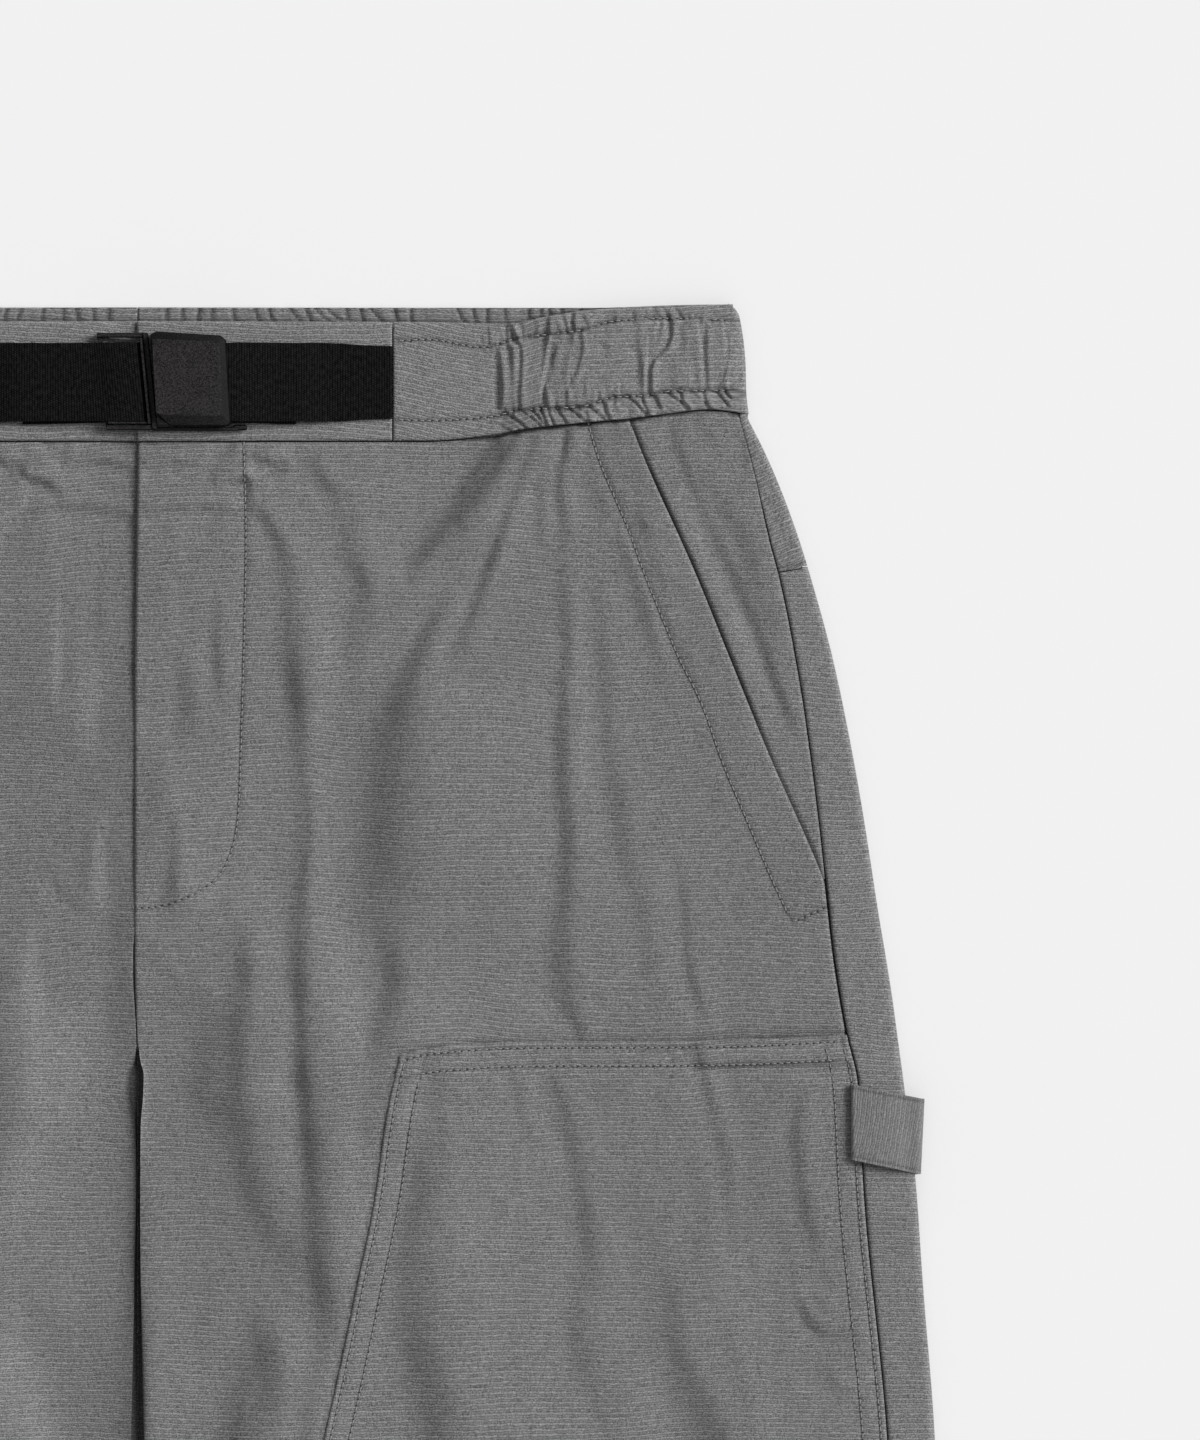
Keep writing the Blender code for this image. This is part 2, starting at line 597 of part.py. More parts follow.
def strip(name, stations, wall, side, finish):
    """A flat strip that follows its stations, with a row of points down its middle."""

    def place(u, v):
        rows = np.array(stations, float)[np.rint(u * (len(stations) - 1)).astype(int)]
        x, z, high, low, lean = rows.T
        drop = high + (low - high) * v
        return x + lean * (drop - WEBBING_CENTRE), drop, z, np.ones(len(x))

    return cloth(name, place, len(stations) - 1, 2, wall, side, finish, inward=0.0)


def belt(name, side, bar, tail_end, lean):
    """Webbing from its waistband seam to a buckle bar, round it, and back to its sewn tail."""
    on_band = BAND_TOP + 0.3 + WEBBING / 2
    radius = BAR_RADIUS + 0.25 + WEBBING / 2
    over = BAR_HEIGHT + radius
    heights = (
        (bar, over), (bar + 6, over - 0.05), (bar + 16, over - 1.4), (tail_end - 8, on_band + 2.4),
        (tail_end + 2, on_band + 1.8), (tail_end + 14, on_band + 0.1), (BAND_SPLIT, on_band),
    )
    half = WEBBING_WIDTH / 2
    stations = []
    reach = BAND_SPLIT - SEAM_GAP / 2 - bar
    for step in range(12):
        x = bar + reach * (1 - step / 12)
        narrow = BELT_TAPER * ramp(70, BAND_SPLIT, x)
        stations.append((x, float(smooth(heights, x)), -half + narrow, half - narrow, x))
    for x, z in turn(bar, BAR_HEIGHT, radius, 90, 270, 8):
        stations.append((x, z, -half, half, x))
    for step in range(1, 6):
        x = bar + (tail_end - bar) * step / 5
        shift = TAIL_SLIP * step / 5
        stations.append((x, BAR_HEIGHT - radius, -half + shift, half + shift, x))
    path = []
    for x, z, high, low, along in stations:
        leaning = lean * (1 - ramp(bar + 4, bar + 34, along))
        path.append(Station(x, z, WEBBING_CENTRE + high, WEBBING_CENTRE + low, leaning))
    return strip(name, path, WEBBING, side, "webbing")


def hammer_loop(name, side):
    """A strip out of the side seam that rolls back over the side and under the leg."""
    middle = LOOP_TOP + LOOP_WIDTH / 2
    knee_top = float(front_height(np.array(273.0), np.array(middle), side)) + LAYER_GAP + CLOTH
    first = knee_top + LAYER_GAP + LOOP_WALL / 2
    roll = LOOP_WALL / 2 + LAYER_GAP
    over = first + 2 * roll
    low = LOOP_WALL / 2 + 0.05
    fold_z = low + LOOP_FOLD_RADIUS
    fold_top = fold_z + LOOP_FOLD_RADIUS
    heights = ((LOOP_ROLL, over), (283, over - 0.2), (291, 9.4), (LOOP_FOLD, fold_top))
    points = [(LOOP_ROLL + 3.2, first), (LOOP_ROLL + 1.4, first)]
    points += turn(LOOP_ROLL, first + roll, roll, 270, 90, 6)
    points += [(x, float(smooth(heights, x))) for x in (279.0, 282.5, 286.0, 290.0, 294.0)]
    points += turn(LOOP_FOLD, fold_z, LOOP_FOLD_RADIUS, 90, -90, 8)
    points += [(x, low) for x in (292.0, 284.0, 274.0, 264.0)]
    left = LOOP_ROLL - roll
    right = LOOP_FOLD + LOOP_FOLD_RADIUS
    path = []
    for x, z in points:
        beyond = x - left if z > fold_z else 2 * right - x - left
        high = LOOP_TOP + LOOP_SLOPE * beyond
        path.append((x, z, high))

    def place(u, v):
        rows = np.array(path)[np.rint(u * (len(path) - 1)).astype(int)]
        x, z, high = rows.T
        lean = ramp(290, 299, x) * (0.3 - 1.4 * v)
        return x + lean, high + LOOP_WIDTH * v, z, np.ones(len(x))

    return cloth(name, place, len(path) - 1, 2, LOOP_WALL, side, inward=0.0)


# Buckle.


def stacked(name, layers, finish="buckle", folder="cutters", lean=0.0):
    """A closed solid through outlines of x and drop, each at its own height."""
    solid = bmesh.new()
    rings = []
    for z, outline in layers:
        ring = [at(x + lean * (drop - WEBBING_CENTRE), drop, z) for x, drop in outline]
        rings.append([solid.verts.new(point) for point in ring])
    for lower, upper in zip(rings, rings[1:]):
        for i in range(len(lower)):
            j = (i + 1) % len(lower)
            solid.faces.new((lower[i], lower[j], upper[j], upper[i]))
    solid.faces.new(rings[0])
    solid.faces.new(rings[-1])
    bmesh.ops.recalc_face_normals(solid, faces=solid.faces)
    return add_object(name, solid, finish, folder)


def block(name, x, drop, z, lean=0.0, folder="cutters"):
    """A box between pairs of x, drop and z."""
    outline = ((x[0], drop[0]), (x[1], drop[0]), (x[1], drop[1]), (x[0], drop[1]))
    return stacked(name, ((z[0], outline), (z[1], outline)), folder=folder, lean=lean)


def bar(name, x, drop, lean=0.0):
    """A round bar that webbing folds over, along the drop."""
    ends = [at(x + lean * (d - WEBBING_CENTRE), d, BAR_HEIGHT) for d in drop]
    axis = ends[1] - ends[0]
    solid = bmesh.new()
    radius = BAR_RADIUS * MM
    bmesh.ops.create_cone(
        solid, cap_ends=True, segments=12, radius1=radius, radius2=radius, depth=axis.length)
    obj = add_object(name, solid, "buckle", "cutters")
    obj.location = (ends[0] + ends[1]) / 2
    obj.rotation_euler = axis.to_track_quat("Z", "Y").to_euler()
    return obj


def combine(obj, helper, operation):
    """Joins or cuts obj by a helper, which isn't shown itself."""
    helper.hide_render = True
    helper.display_type = "WIRE"
    boolean = obj.modifiers.new(helper.name, "BOOLEAN")
    boolean.operation = operation
    boolean.object = helper
    boolean.solver = "EXACT"


def buckle_cover(name):
    """The right half: a bevelled cap, hollow under its face, with a bar for the webbing."""
    layers = (
        (BUCKLE_FLOOR, COVER_OUTLINE), (COVER_SHOULDER, COVER_OUTLINE), (COVER_TOP, COVER_FACE),
    )
    cover = stacked(name, layers, folder="work_trousers")
    cavity = block(name + "_cavity", (0, 45), (14.1, 45.5), (BUCKLE_FLOOR - 1, CAVITY_TOP))
    combine(cover, cavity, "DIFFERENCE")
    combine(cover, bar(name + "_bar", BAR_COVER, (13.2, 46.2)), "UNION")
    return cover


def buckle_latch(name):
    """The left half: a leaning frame with a bar for the webbing, and a tongue under the cover."""
    low, skew = BUCKLE_FLOOR, LATCH_SKEW
    latch = block(name, (4.3, 6.3), (11.4, 48.2), (low, LATCH_RIM), skew, "work_trousers")
    shapes = (
        block(name + "_arm_high", (-13.4, 5.0), (11.4, 12.9), (low + 0.4, LATCH_RIM - 0.2), skew),
        block(name + "_arm_low", (-13.4, 5.0), (46.4, 48.4), (low + 0.4, LATCH_RIM - 0.4), skew),
        block(name + "_end", (-13.4, -11.4), (12.0, 47.4), (low + 1.7, low + 3.3), skew),
        block(name + "_tongue", (5.6, 24.0), (17.0, 42.6), (low + 1.6, CAVITY_TOP - 0.6)),
        block(name + "_rail", (6.0, 42.3), (47.35, 48.6), (low + 0.2, low + 2.6)),
        block(name + "_hook", (37.4, 42.2), (46.5, 48.5), (low + 0.3, low + 2.5)),
        bar(name + "_bar", BAR_LATCH, (12.2, 47.4), skew),
    )
    for shape in shapes:
        combine(latch, shape, "UNION")
    return latch


def fly_zip(name):
    """The closed zip between the fly and the back, its chain a little thicker than its tapes."""
    lines = ((-5.0, 0.6), (6.0, 0.6), (6.9, 1.0), (10.1, 1.0), (11.0, 0.6), (22.0, 0.6))

    def place(u, v):
        x, share = np.array(lines)[np.rint(u * (len(lines) - 1)).astype(int)].T
        return x, ZIP_TOP + ZIP_LENGTH * v, 1.3 + ZIP_WALL * share, share

    return cloth(name, place, len(lines) - 1, 2, ZIP_WALL, finish="zip")


def main():
    for obj in list(bpy.data.objects):
        bpy.data.objects.remove(obj)
    for folder in ("work_trousers", "cutters"):
        bpy.context.scene.collection.children.link(bpy.data.collections.new(folder))
    bpy.data.collections["cutters"].hide_render = True
    for word, side in (("left", 1), ("right", -1)):
        front_panel("front_" + word, side)
        hip_panel("hip_" + word, side)
        back_panel("back_" + word, side)
        yoke("yoke_" + word, side)
        knee_panel("knee_" + word, side)
        band_flat("waistband_front_" + word, side)
        band_elastic("waistband_elastic_" + word, side)
    belt("belt_left", 1, BAR_COVER, 61.0, 0.0)
    belt("belt_right", -1, -BAR_LATCH, 44.0, -LATCH_SKEW)
    hammer_loop("hammer_loop", 1)
    buckle_cover("buckle_cover")
    buckle_latch("buckle_latch")
    fly_zip("fly_zip")


main()
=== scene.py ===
"""The looks of work trousers that lie flat with their front side up.

Sizes are in millimetres until a mesh is made: x runs out from the centre front, drop is
the distance below the waistband's top edge, and z is the height above the surface that
the trousers lie on. Each piece of cloth is a thin shell on the form of its solid.
"""
import math
from collections import namedtuple

import bmesh
import bpy
import numpy as np
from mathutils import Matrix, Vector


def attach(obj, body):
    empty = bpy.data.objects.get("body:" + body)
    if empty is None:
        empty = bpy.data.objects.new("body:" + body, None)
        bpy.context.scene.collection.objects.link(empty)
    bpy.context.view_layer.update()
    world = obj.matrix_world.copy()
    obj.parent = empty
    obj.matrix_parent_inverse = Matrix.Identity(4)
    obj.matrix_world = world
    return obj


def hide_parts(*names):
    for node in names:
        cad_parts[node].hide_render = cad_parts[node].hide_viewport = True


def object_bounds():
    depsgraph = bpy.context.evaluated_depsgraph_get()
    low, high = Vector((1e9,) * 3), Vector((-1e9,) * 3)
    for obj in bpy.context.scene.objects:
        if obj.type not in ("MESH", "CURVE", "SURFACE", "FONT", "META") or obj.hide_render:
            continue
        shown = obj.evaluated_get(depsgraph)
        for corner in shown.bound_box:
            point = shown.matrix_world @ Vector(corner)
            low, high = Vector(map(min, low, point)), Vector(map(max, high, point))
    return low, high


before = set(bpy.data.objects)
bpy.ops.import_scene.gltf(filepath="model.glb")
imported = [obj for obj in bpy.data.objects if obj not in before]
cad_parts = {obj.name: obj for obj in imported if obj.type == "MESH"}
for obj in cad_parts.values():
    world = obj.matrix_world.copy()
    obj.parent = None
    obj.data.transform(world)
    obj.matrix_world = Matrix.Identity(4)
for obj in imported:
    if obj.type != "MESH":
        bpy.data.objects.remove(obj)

MM = 0.001
CAD_LOW, CAD_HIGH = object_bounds()

# The garment's sizes.
LENGTH = (CAD_HIGH.y - CAD_LOW.y) / MM
CLOTH = 1.0  # thickness of the cloth
BAND_WALL = 1.5  # and of the waistband
SEAM_GAP = 0.4  # between two pieces beside each other
WAIST_GAP = 0.3  # between the waistband and what hangs from it
LAYER_GAP = 0.35  # between two layers
BASE = 4.8  # height of the front over the surface
SIDE_TOP = 4.4  # height of the side fold at the hip
SIDE_TOP_KNEE = 5.0  # and from the knee down
HIP_TOP = 4.3
HIP_UNDER = 28.0  # how far the hip panel goes on under the front
HIP_DIP = 1.35  # how much lower it lies there
POCKET_RISE = 0.95  # of the front along the pocket opening
POCKET_END = 222.0
KNEE_PRESS = 0.9  # how much the knee panel presses the front down
KNEE_LIFT = 0.6  # of the knee panel above the front
MOST_RAISED = 5.8  # limits of what the folds add together
MOST_SUNK = 3.3
BAND_TOP = 5.1  # height of the waistband where it is flat
BAND_GATHERED = 5.7  # where it is gathered
BAND_SIDE = 5.2  # and at its side fold
BAND_SIDE_DEPTH = 42.4
BAND_SPLIT = 98.2  # the seam where the webbing ends
FLAT_END = 137.0  # where the waistband starts to be gathered
FLY_OVERLAP = 6.0  # of the left front over the right one
FLY_DIP = 2.4  # how much lower the right front lies beneath it
FLY_END = 215.0
CROTCH = 285.0
ROLL = 3.0  # over which the inner leg edge turns down
INSEAM_FRONT = 2.9  # height of the front at the inner leg seam
YOKE_AT_SIDE = 101.3  # drop of its seam on the side strip
YOKE_SEAM_X = 257.0  # at this x
YOKE_SLOPE = 0.17
KNEE_LEVEL = 283.0  # about where its top lies
KNEE_BOTTOM = 730.0
WEBBING = 1.3  # its thickness
WEBBING_WIDTH = 30.2
WEBBING_CENTRE = 30.1  # drop of its middle line
BELT_TAPER = 1.2  # how much narrower the webbing is at its seam, on each side
TAIL_SLIP = 1.0  # how far down the tail lies at its end
LOOP_WALL = 1.2  # thickness of the hammer loop
LOOP_GAP = 0.15
LOOP_WIDTH = 29.0
LOOP_FOLD = 298.4  # x of its fold round the leg's edge
LOOP_FOLD_RADIUS = 3.4
LOOP_ROLL = 275.6  # x where it turns back at the side seam
LOOP_TOP = 299.7  # drop of its upper edge there
LOOP_SLOPE = 0.21  # how far it slants, in drop over x
LOOP_LIFT = 1.95  # how much its part beneath the leg raises the leg
BACK_GATHERS = 28  # in half the waistband
BACK_CREASE = 0.55  # most that a crease lifts the back off the surface
BAR_RADIUS = 1.5  # of the buckle's two bars
BAR_HEIGHT = 8.5
BAR_COVER = 29.0  # x of each bar
BAR_LATCH = 0.0
LATCH_SKEW = 0.1  # how far the latch leans, in x over drop
STITCH = 2.65  # pitch of the topstitching
BAND_STITCH = 2.3  # and of the places where the waistband's height is taken for it
STITCH_HALF = 0.41  # half a stitch's length, as a share of the pitch
THREAD = 0.29  # its radius
HOLE_LENGTH, HOLE_WIDTH, HOLE_RISE = 0.46, 0.38, 0.26  # half sizes, and height off the cloth
HEM_STITCH = 22.0  # height of the hem's stitch row above the hem
HEM_RISE = 0.5  # of the turned-up hem
YARN = 0.95  # pitch of the weave's ribs
WEBBING_RIB = 1.0

# Outlines, each row a drop and an x.
OUTER_EDGE = (
    (44, 234.8), (56, 240.9), (68, 246.2), (84, 252.3), (100, 257.5), (136, 267.4),
    (179, 276.2), (205, 280.6), (230, 284.4), (267, 290.4), (302, 295), (336, 299.2),
    (380, 302.4), (436, 306.7), (500, 309), (560, 310), (640, 309),
    (740, 305), (860, 299), (LENGTH, 291),
)
SIDE_SEAM = (
    (44, 231.5), (56, 234.8), (66, 237.4), (78, 240.2), (93, 243.7), (106, 247.2),
    (150, 255.6), (199, 262.2), (234, 266), (251, 268), (281, 273), (299, 277),
    (342, 279.4), (436, 288.4), (500, 291.5), (640, 293), (740, 289.5),
    (860, 283), (LENGTH, 274),
)
INNER_EDGE = (
    (CROTCH, 0.4), (291, 1.1), (296, 2.4), (304, 2.2), (316, 1.25), (345, 1.05), (436, 2.5),
    (520, 5.5), (620, 12), (740, 21), (860, 31), (LENGTH, 46),
)
# The back's inner leg edge closes the gap that the two rolled front edges leave.
BACK_INNER_EDGE = (
    (CROTCH, 0.05), (470, 0.05), (520, 3.5), (620, 11.5), (740, 21),
    (860, 31), (LENGTH, 46),
)
FLY_EDGE = ((52, 0.2), (165, -1.1), (252, -1.2), (272, -0.6), (CROTCH, 0.2))
POCKET_EDGE = (
    (44.7, 189.3), (62.4, 196.3), (102, 214), (136.7, 228.1),
    (173.6, 243.1), (207.5, 258.2), (POCKET_END, 264.2),
)
KNEE_EDGE = (
    (286, 101.6), (308, 96.6), (346, 90.9), (380, 83.9), (411, 77.4),
    (436, 71.8), (560, 46), (650, 28), (700, 25.5), (KNEE_BOTTOM, 28),
)
# Edges and rows that run across, each row an x and a drop.
WAIST_SEAM = (
    (0, 52.8), (112, 52.6), (137, 50.4), (148, 48.3), (171, 45.8),
    (188, 44.3), (203, 42.4), (220, 40.6), (235, 42.4),
)
BAND_FRONT_EDGE = (
    (0, 6.4), (112, 6.8), (142, 7.4), (158, 4.6), (174, 2.2), (208, 0.3), (228, 0),
)
BAND_BACK_EDGE = ((0, 1), (174, 1.2), (208, 0.2), (228, 0))
BAND_OUTER_EDGE = ((0, 227.7), (1.6, 229.8), (5, 231.6), (23, 233.9), (34, 234.2), (42.4, 235.1))
BACK_WAIST_SEAM = ((0, 46), (235, 42.4))
YOKE_SEAM = ((0, 128), (120, 116), (248, 101.2), (262, 100.4))
KNEE_TOP = (
    (101, 288.8), (107, 286.6), (114, 285.4), (145, 283.4), (220, 283), (274, 280.7),
)
UPPER_ROW = (
    (98, 14.2), (112, 13.5), (133, 16.6), (146, 13.1), (171, 10), (183, 6.5),
    (204, 5.4), (234, 6.5),
)
LOWER_ROW = (
    (98, 44.3), (112, 44.7), (137, 43.1), (146, 40.8), (171, 39.3), (183, 35.8),
    (196, 35), (204, 33.5), (229, 33.1), (234, 34.3),
)

# Rows of stitches, each row an x and a drop.
FLY_STITCH = (
    (40.8, 50), (42, 87), (41.2, 126), (40, 165), (38.9, 198), (36.2, 211),
    (30.8, 221.5), (19.3, 228.3), (7.3, 232.2), (-2, 232.2),
)
POCKET_STITCH = (
    (172.5, 42), (176.7, 58.5), (184.4, 76.2), (189.4, 87.8), (194.8, 103.6),
    (202.9, 123.2), (208.3, 136.7), (217.1, 152.8), (224.8, 176.3), (233.7, 196.7),
    (243.3, 219.8), (250.2, 234.5), (251.6, 237), (254.5, 236.6), (266, 231),
)
POCKET_CORNER = 12  # points of it down the opening, before it turns to the side seam

# A fold is a soft step: the cloth rises to the right of its path, or above a path that
# runs across, and sinks back on both sides. Its slope is the steepest, and each row is a
# point's x and drop, the half width there and the share of the slope. A half width that
# is the same all along is given once, after the rows.
Fold = namedtuple("Fold", "slope rows width", defaults=(None,))
FRONT_FOLDS = (
    # From the waist down across the thigh.
    Fold(0.77, ((146.8, 49.7, 3.8, 0.7), (139.9, 56.6, 5.7, 1), (132.2, 65.1, 5.7, 1),
         (125.1, 73.9, 5.7, 1), (119.4, 82, 5.7, 1), (114, 89.7, 5, 1), (109.3, 96.2, 3.8, 0.9),
         (104.7, 103.6, 2.5, 0.4))),
    Fold(0.8, ((138.1, 51.2, 0.6), (133.4, 57.4, 1), (128.8, 64.3, 1), (124.2, 71.2, 0.6)), 2),
    Fold(0.59, ((143.2, 55.8, 2.2, 0.5), (137.8, 65.1, 2.9, 0.9), (131.6, 75.1, 2.9, 1),
         (124.7, 84.3, 2.9, 0.7))),
    Fold(0.75, ((154, 51.2, 1.7, 0.6), (150.5, 58.9, 1.7, 0.8), (147.5, 68.1, 1.7, 1), (144, 78.2, 1.7, 1),
         (140.1, 88.2, 1.7, 0.9), (136.3, 98.2, 2.2, 1), (133.2, 106.6, 2.2, 0.6), (129.4, 117.4, 2.2, 0.7),
         (124.7, 129, 2.6, 0.5), (120.9, 137.4, 2.6, 0.2))),
    Fold(-0.23, ((149.4, 67.4, 0.5), (146.7, 77, 1), (144, 86.6, 0.8), (141.3, 96.2, 0.4)), 1.7),
    Fold(0.43, ((156.7, 59.7, 0.5), (155.2, 71.2, 1), (154.8, 82.8, 0.7), (155.5, 92.4, 0.3)), 2),
    # Down the thigh.
    Fold(0.52, ((165.9, 49.3, 1.5, 1.35), (164.4, 56.6, 1.5, 1.5), (162.5, 65.5, 1.5, 1.35),
         (162.1, 74.3, 2, 1.05), (163.6, 84.7, 2.3, 0.52), (163.2, 98.2, 2.7, 0.19),
         (163.6, 107.8, 2.3, 0.37), (164.8, 121.3, 2.3, 0.56), (164.8, 134.8, 2.3, 0.56),
         (163.6, 148.2, 2.7, 0.56), (163.2, 163.6, 3.1, 0.78), (163.2, 179, 3.5, 0.87),
         (164.4, 194.4, 3.5, 0.87), (165.2, 207.9, 3.5, 0.95), (164.4, 221.4, 3.5, 0.78),
         (163.2, 236.8, 3.9, 0.6), (162.5, 250.2, 4.7, 0.6), (163.2, 261.8, 5.4, 0.52),
         (165.6, 270.7, 3.5, 0.7), (170.2, 279.1, 2.7, 0.7), (170.9, 284.5, 2.3, 0.35))),
    Fold(-0.11, ((169.4, 98.2, 2.6, 0.4), (170.2, 113.6, 3, 1), (170.9, 129, 3, 0.9),
         (170.2, 148.2, 3, 0.8), (169.8, 167.5, 3, 0.9), (170.2, 186.7, 3.4, 0.7), (172.1, 206, 3.4, 0.5))),
    Fold(0.25, ((176.7, 113.6, 2.6, 0.3), (177.9, 129, 3, 0.7), (179.4, 144.4, 3, 0.8),
         (180.2, 159.8, 3, 0.8), (182.1, 175.2, 3.4, 0.9), (184.4, 190.6, 3.9, 1), (186.3, 206, 3.9, 1),
         (189, 216.8, 3.4, 0.7), (192.1, 227.2, 3.4, 0.7), (195.2, 242.6, 3.9, 0.5),
         (196.7, 257.9, 3.9, 0.4), (199, 275.3, 3.4, 0.2))),
    Fold(0.23, ((184.8, 90.5, 2.6, 0.5), (189.4, 101.3, 3, 0.9), (193.7, 114.3, 3, 1), (197.1, 129, 3, 0.6),
         (199.4, 136.7, 3, 0.2))),
    Fold(0.17, ((172.1, 67.4, 0.3), (177.1, 75.1, 0.8), (181, 82.8, 0.5)), 3.4),
    Fold(0.32, ((207.1, 209.8, 2.2, 0.2), (209.4, 223.3, 2.2, 0.6), (210.6, 234.8, 2.2, 0.9),
         (211.8, 248.3, 2.2, 0.9), (213.3, 259.9, 2.2, 1), (216, 269.1, 1.7, 0.9),
         (218.3, 275.3, 1.7, 0.4))),
    # Between the fly and the thigh.
    Fold(0.23, ((78.9, 73.2, 5.1, 0.3), (80.9, 86.6, 5.1, 0.6), (83.2, 98.2, 5.1, 0.8),
         (85.9, 107.8, 5.1, 1), (85.5, 117.4, 5.8, 0.9), (84.3, 129, 6.4, 0.6), (82.4, 140.5, 6.4, 0.3))),
    Fold(0.2, ((82.4, 98.2, 2.6, 0.3), (86.2, 105.1, 2.6, 1), (89.3, 112, 2, 0.4))),
    # From the hip to the knee panel.
    Fold(0.62, ((119.4, 112.8, 2.3, 0.34), (114.7, 120.5, 3.2, 0.68), (110.9, 128.2, 3.6, 0.85),
         (106.3, 137.4, 4.5, 0.94), (102.8, 145.1, 5.5, 0.94), (98.9, 154.4, 10.2, 0.91),
         (96.2, 163.6, 12.9, 0.72), (94.3, 175.2, 16.2, 0.65), (92.4, 190.6, 17, 0.65),
         (91.2, 206, 17, 0.65), (91.6, 219.5, 16.2, 0.54), (93.1, 231, 13.5, 0.29),
         (96.6, 244.5, 6.3, 0.43), (98.2, 257.9, 4.9, 0.68), (97, 269.5, 5.5, 0.8),
         (94.7, 281.1, 6.3, 0.95), (92.4, 293.8, 6.3, 0.78), (90.9, 306.1, 5.5, 0.72),
         (89.7, 317.6, 4.1, 0.65), (88.5, 329.2, 2.7, 0.46), (86.2, 342.7, 2.3, 0.19))),
    # From the fly down the leg.
    Fold(0.53, ((43.1, 76.2, 2.3, 0.32), (47.7, 80.5, 2.7, 0.63), (52, 86.6, 2.7, 0.79),
         (55.1, 94.3, 3.2, 0.71), (57.8, 104, 4.1, 0.4), (58.9, 117.4, 4.5, 0.47), (59.7, 130.9, 4.5, 0.63),
         (60.4, 144.4, 4.5, 0.95), (61.2, 157.8, 4.5, 1), (61.2, 171.3, 4.5, 1.05), (62, 186.7, 4.9, 1.19),
         (62.4, 202.1, 4.9, 1.31), (62, 215.6, 4.5, 1.45), (61.6, 229.1, 4.5, 0.79), (62, 242.6, 4.5, 0.71),
         (62.4, 254.1, 4.5, 0.85), (63.9, 267.6, 4.5, 1.52), (65.5, 283, 4.5, 2.41), (67, 298.4, 6.1, 2.8),
         (68.5, 313.8, 6.1, 1.93), (69.3, 329.2, 6.1, 1.85), (69.7, 344.6, 6.1, 1.43),
         (70.5, 360, 6.1, 1.1), (71.6, 373.4, 5.5, 1.1), (72.4, 386.9, 5.5, 0.71), (71.6, 398.5, 5.5, 0.63),
         (68.5, 410.8, 5.5, 0.53), (65.8, 423.5, 4.3, 0.79), (64.7, 435.8, 4.3, 0.73))),
    # Swell of the thigh.
    Fold(-0.15, ((72, 98.2, 6, 0.3), (72.8, 113.6, 6, 0.9), (72.4, 132.8, 6, 1), (72.8, 152.1, 6, 0.9),
         (73.2, 175.2, 6, 1), (73.9, 198.3, 6.5, 1), (74.7, 221.4, 6.5, 1), (75.5, 248.3, 6.5, 0.9),
         (77, 275.3, 6.5, 0.8), (77.8, 302.2, 6, 0.9), (78.5, 325.3, 5.6, 1), (78.9, 344.6, 4.3, 1),
         (78.2, 363.8, 3.9, 0.7), (77, 383.1, 3, 0.3))),
    # Inner thigh and leg.
    Fold(0.46, ((39.2, 238.7, 3.2, 0.18), (40.8, 250.2, 3.9, 0.63), (41.2, 257.9, 3.9, 0.9),
         (40, 269.5, 3.9, 0.54), (39.6, 283, 3.9, 0.72), (40, 298.4, 3.9, 0.9), (40.8, 311.9, 3.9, 0.35),
         (41.5, 321.5, 3.9, 0.24), (44.6, 342, 3.9, 0.21), (50, 356, 3.9, 0.18), (56, 368, 3.3, 0.09))),
    Fold(0.43, ((33.1, 261.8, 21.6, 0.24), (30.8, 273.4, 23.6, 0.73), (28.1, 284.9, 25.1, 0.97),
         (26.6, 296.4, 25.1, 0.97), (28.5, 308, 20.2, 1.09), (33.1, 319.6, 22.6, 0.61),
         (37, 331.1, 20.4, 0.67), (40.1, 342.7, 18.6, 0.67), (43.5, 354.2, 20.4, 0.61),
         (47, 365.8, 24.2, 0.48), (50.1, 377.3, 24.2, 0.37), (51.6, 388.9, 22.6, 0.24))),
    Fold(0.14, ((41.6, 313.8, 9.4, 0.4), (43.9, 325.3, 9.4, 0.8), (46.2, 338.8, 9.4, 0.9),
         (50.1, 350.4, 9.4, 0.8), (54.7, 360, 7.4, 1), (57.8, 369.6, 7.4, 0.9), (58.9, 379.2, 6.2, 0.5))),
    Fold(0.58, ((48.3, 393.9, 6.5, 0.4), (49.8, 402.3, 6.5, 0.9), (52.1, 413.9, 6.5, 1),
         (51.4, 423.5, 6.5, 0.9), (49.1, 435.8, 7.3, 0.6))),
    Fold(0.55, ((39.3, 400.4, 6.8, 0.3), (38.5, 410, 7.3, 1), (37.3, 421.6, 8.1, 1),
         (34.6, 435.8, 8.7, 1.1))),
    Fold(0.18, ((22.3, 333, 0.4), (23.9, 348.4, 0.8), (25, 363.8, 0.8), (25.4, 383.1, 0.9),
         (26.2, 400.4, 0.7)), 4.3),
    # Puckers at the waist seam.
    Fold(1.02, ((47, 60.4, 0.5), (51.2, 60.8, 1), (55.4, 59.7, 0.5)), 1.9),
    Fold(0.36, ((65.5, 56.6, 2.9, 0.3), (69.3, 64.3, 2.9, 0.8), (72.8, 70.5, 2.9, 1),
         (75.5, 75.1, 2.4, 0.3))),
    Fold(0.52, ((37.7, 53.1, 1.7, 0.9), (35, 57.8, 2.2, 0.6), (31.6, 62, 2.2, 0.3))),
    Fold(1.2, ((30.8, 70.5, 0.6), (36.6, 68.1, 1), (42, 67, 0.9)), 1.7),
    Fold(0.2, ((40.8, 63.5, 0.4), (42, 71.2, 0.8), (43.9, 77, 0.5)), 1.7),
    # On the fly.
    Fold(0.75, ((3.9, 62.8, 0.8), (14.2, 60.8, 0.9), (26.2, 61.6, 0.3)), 1.7),
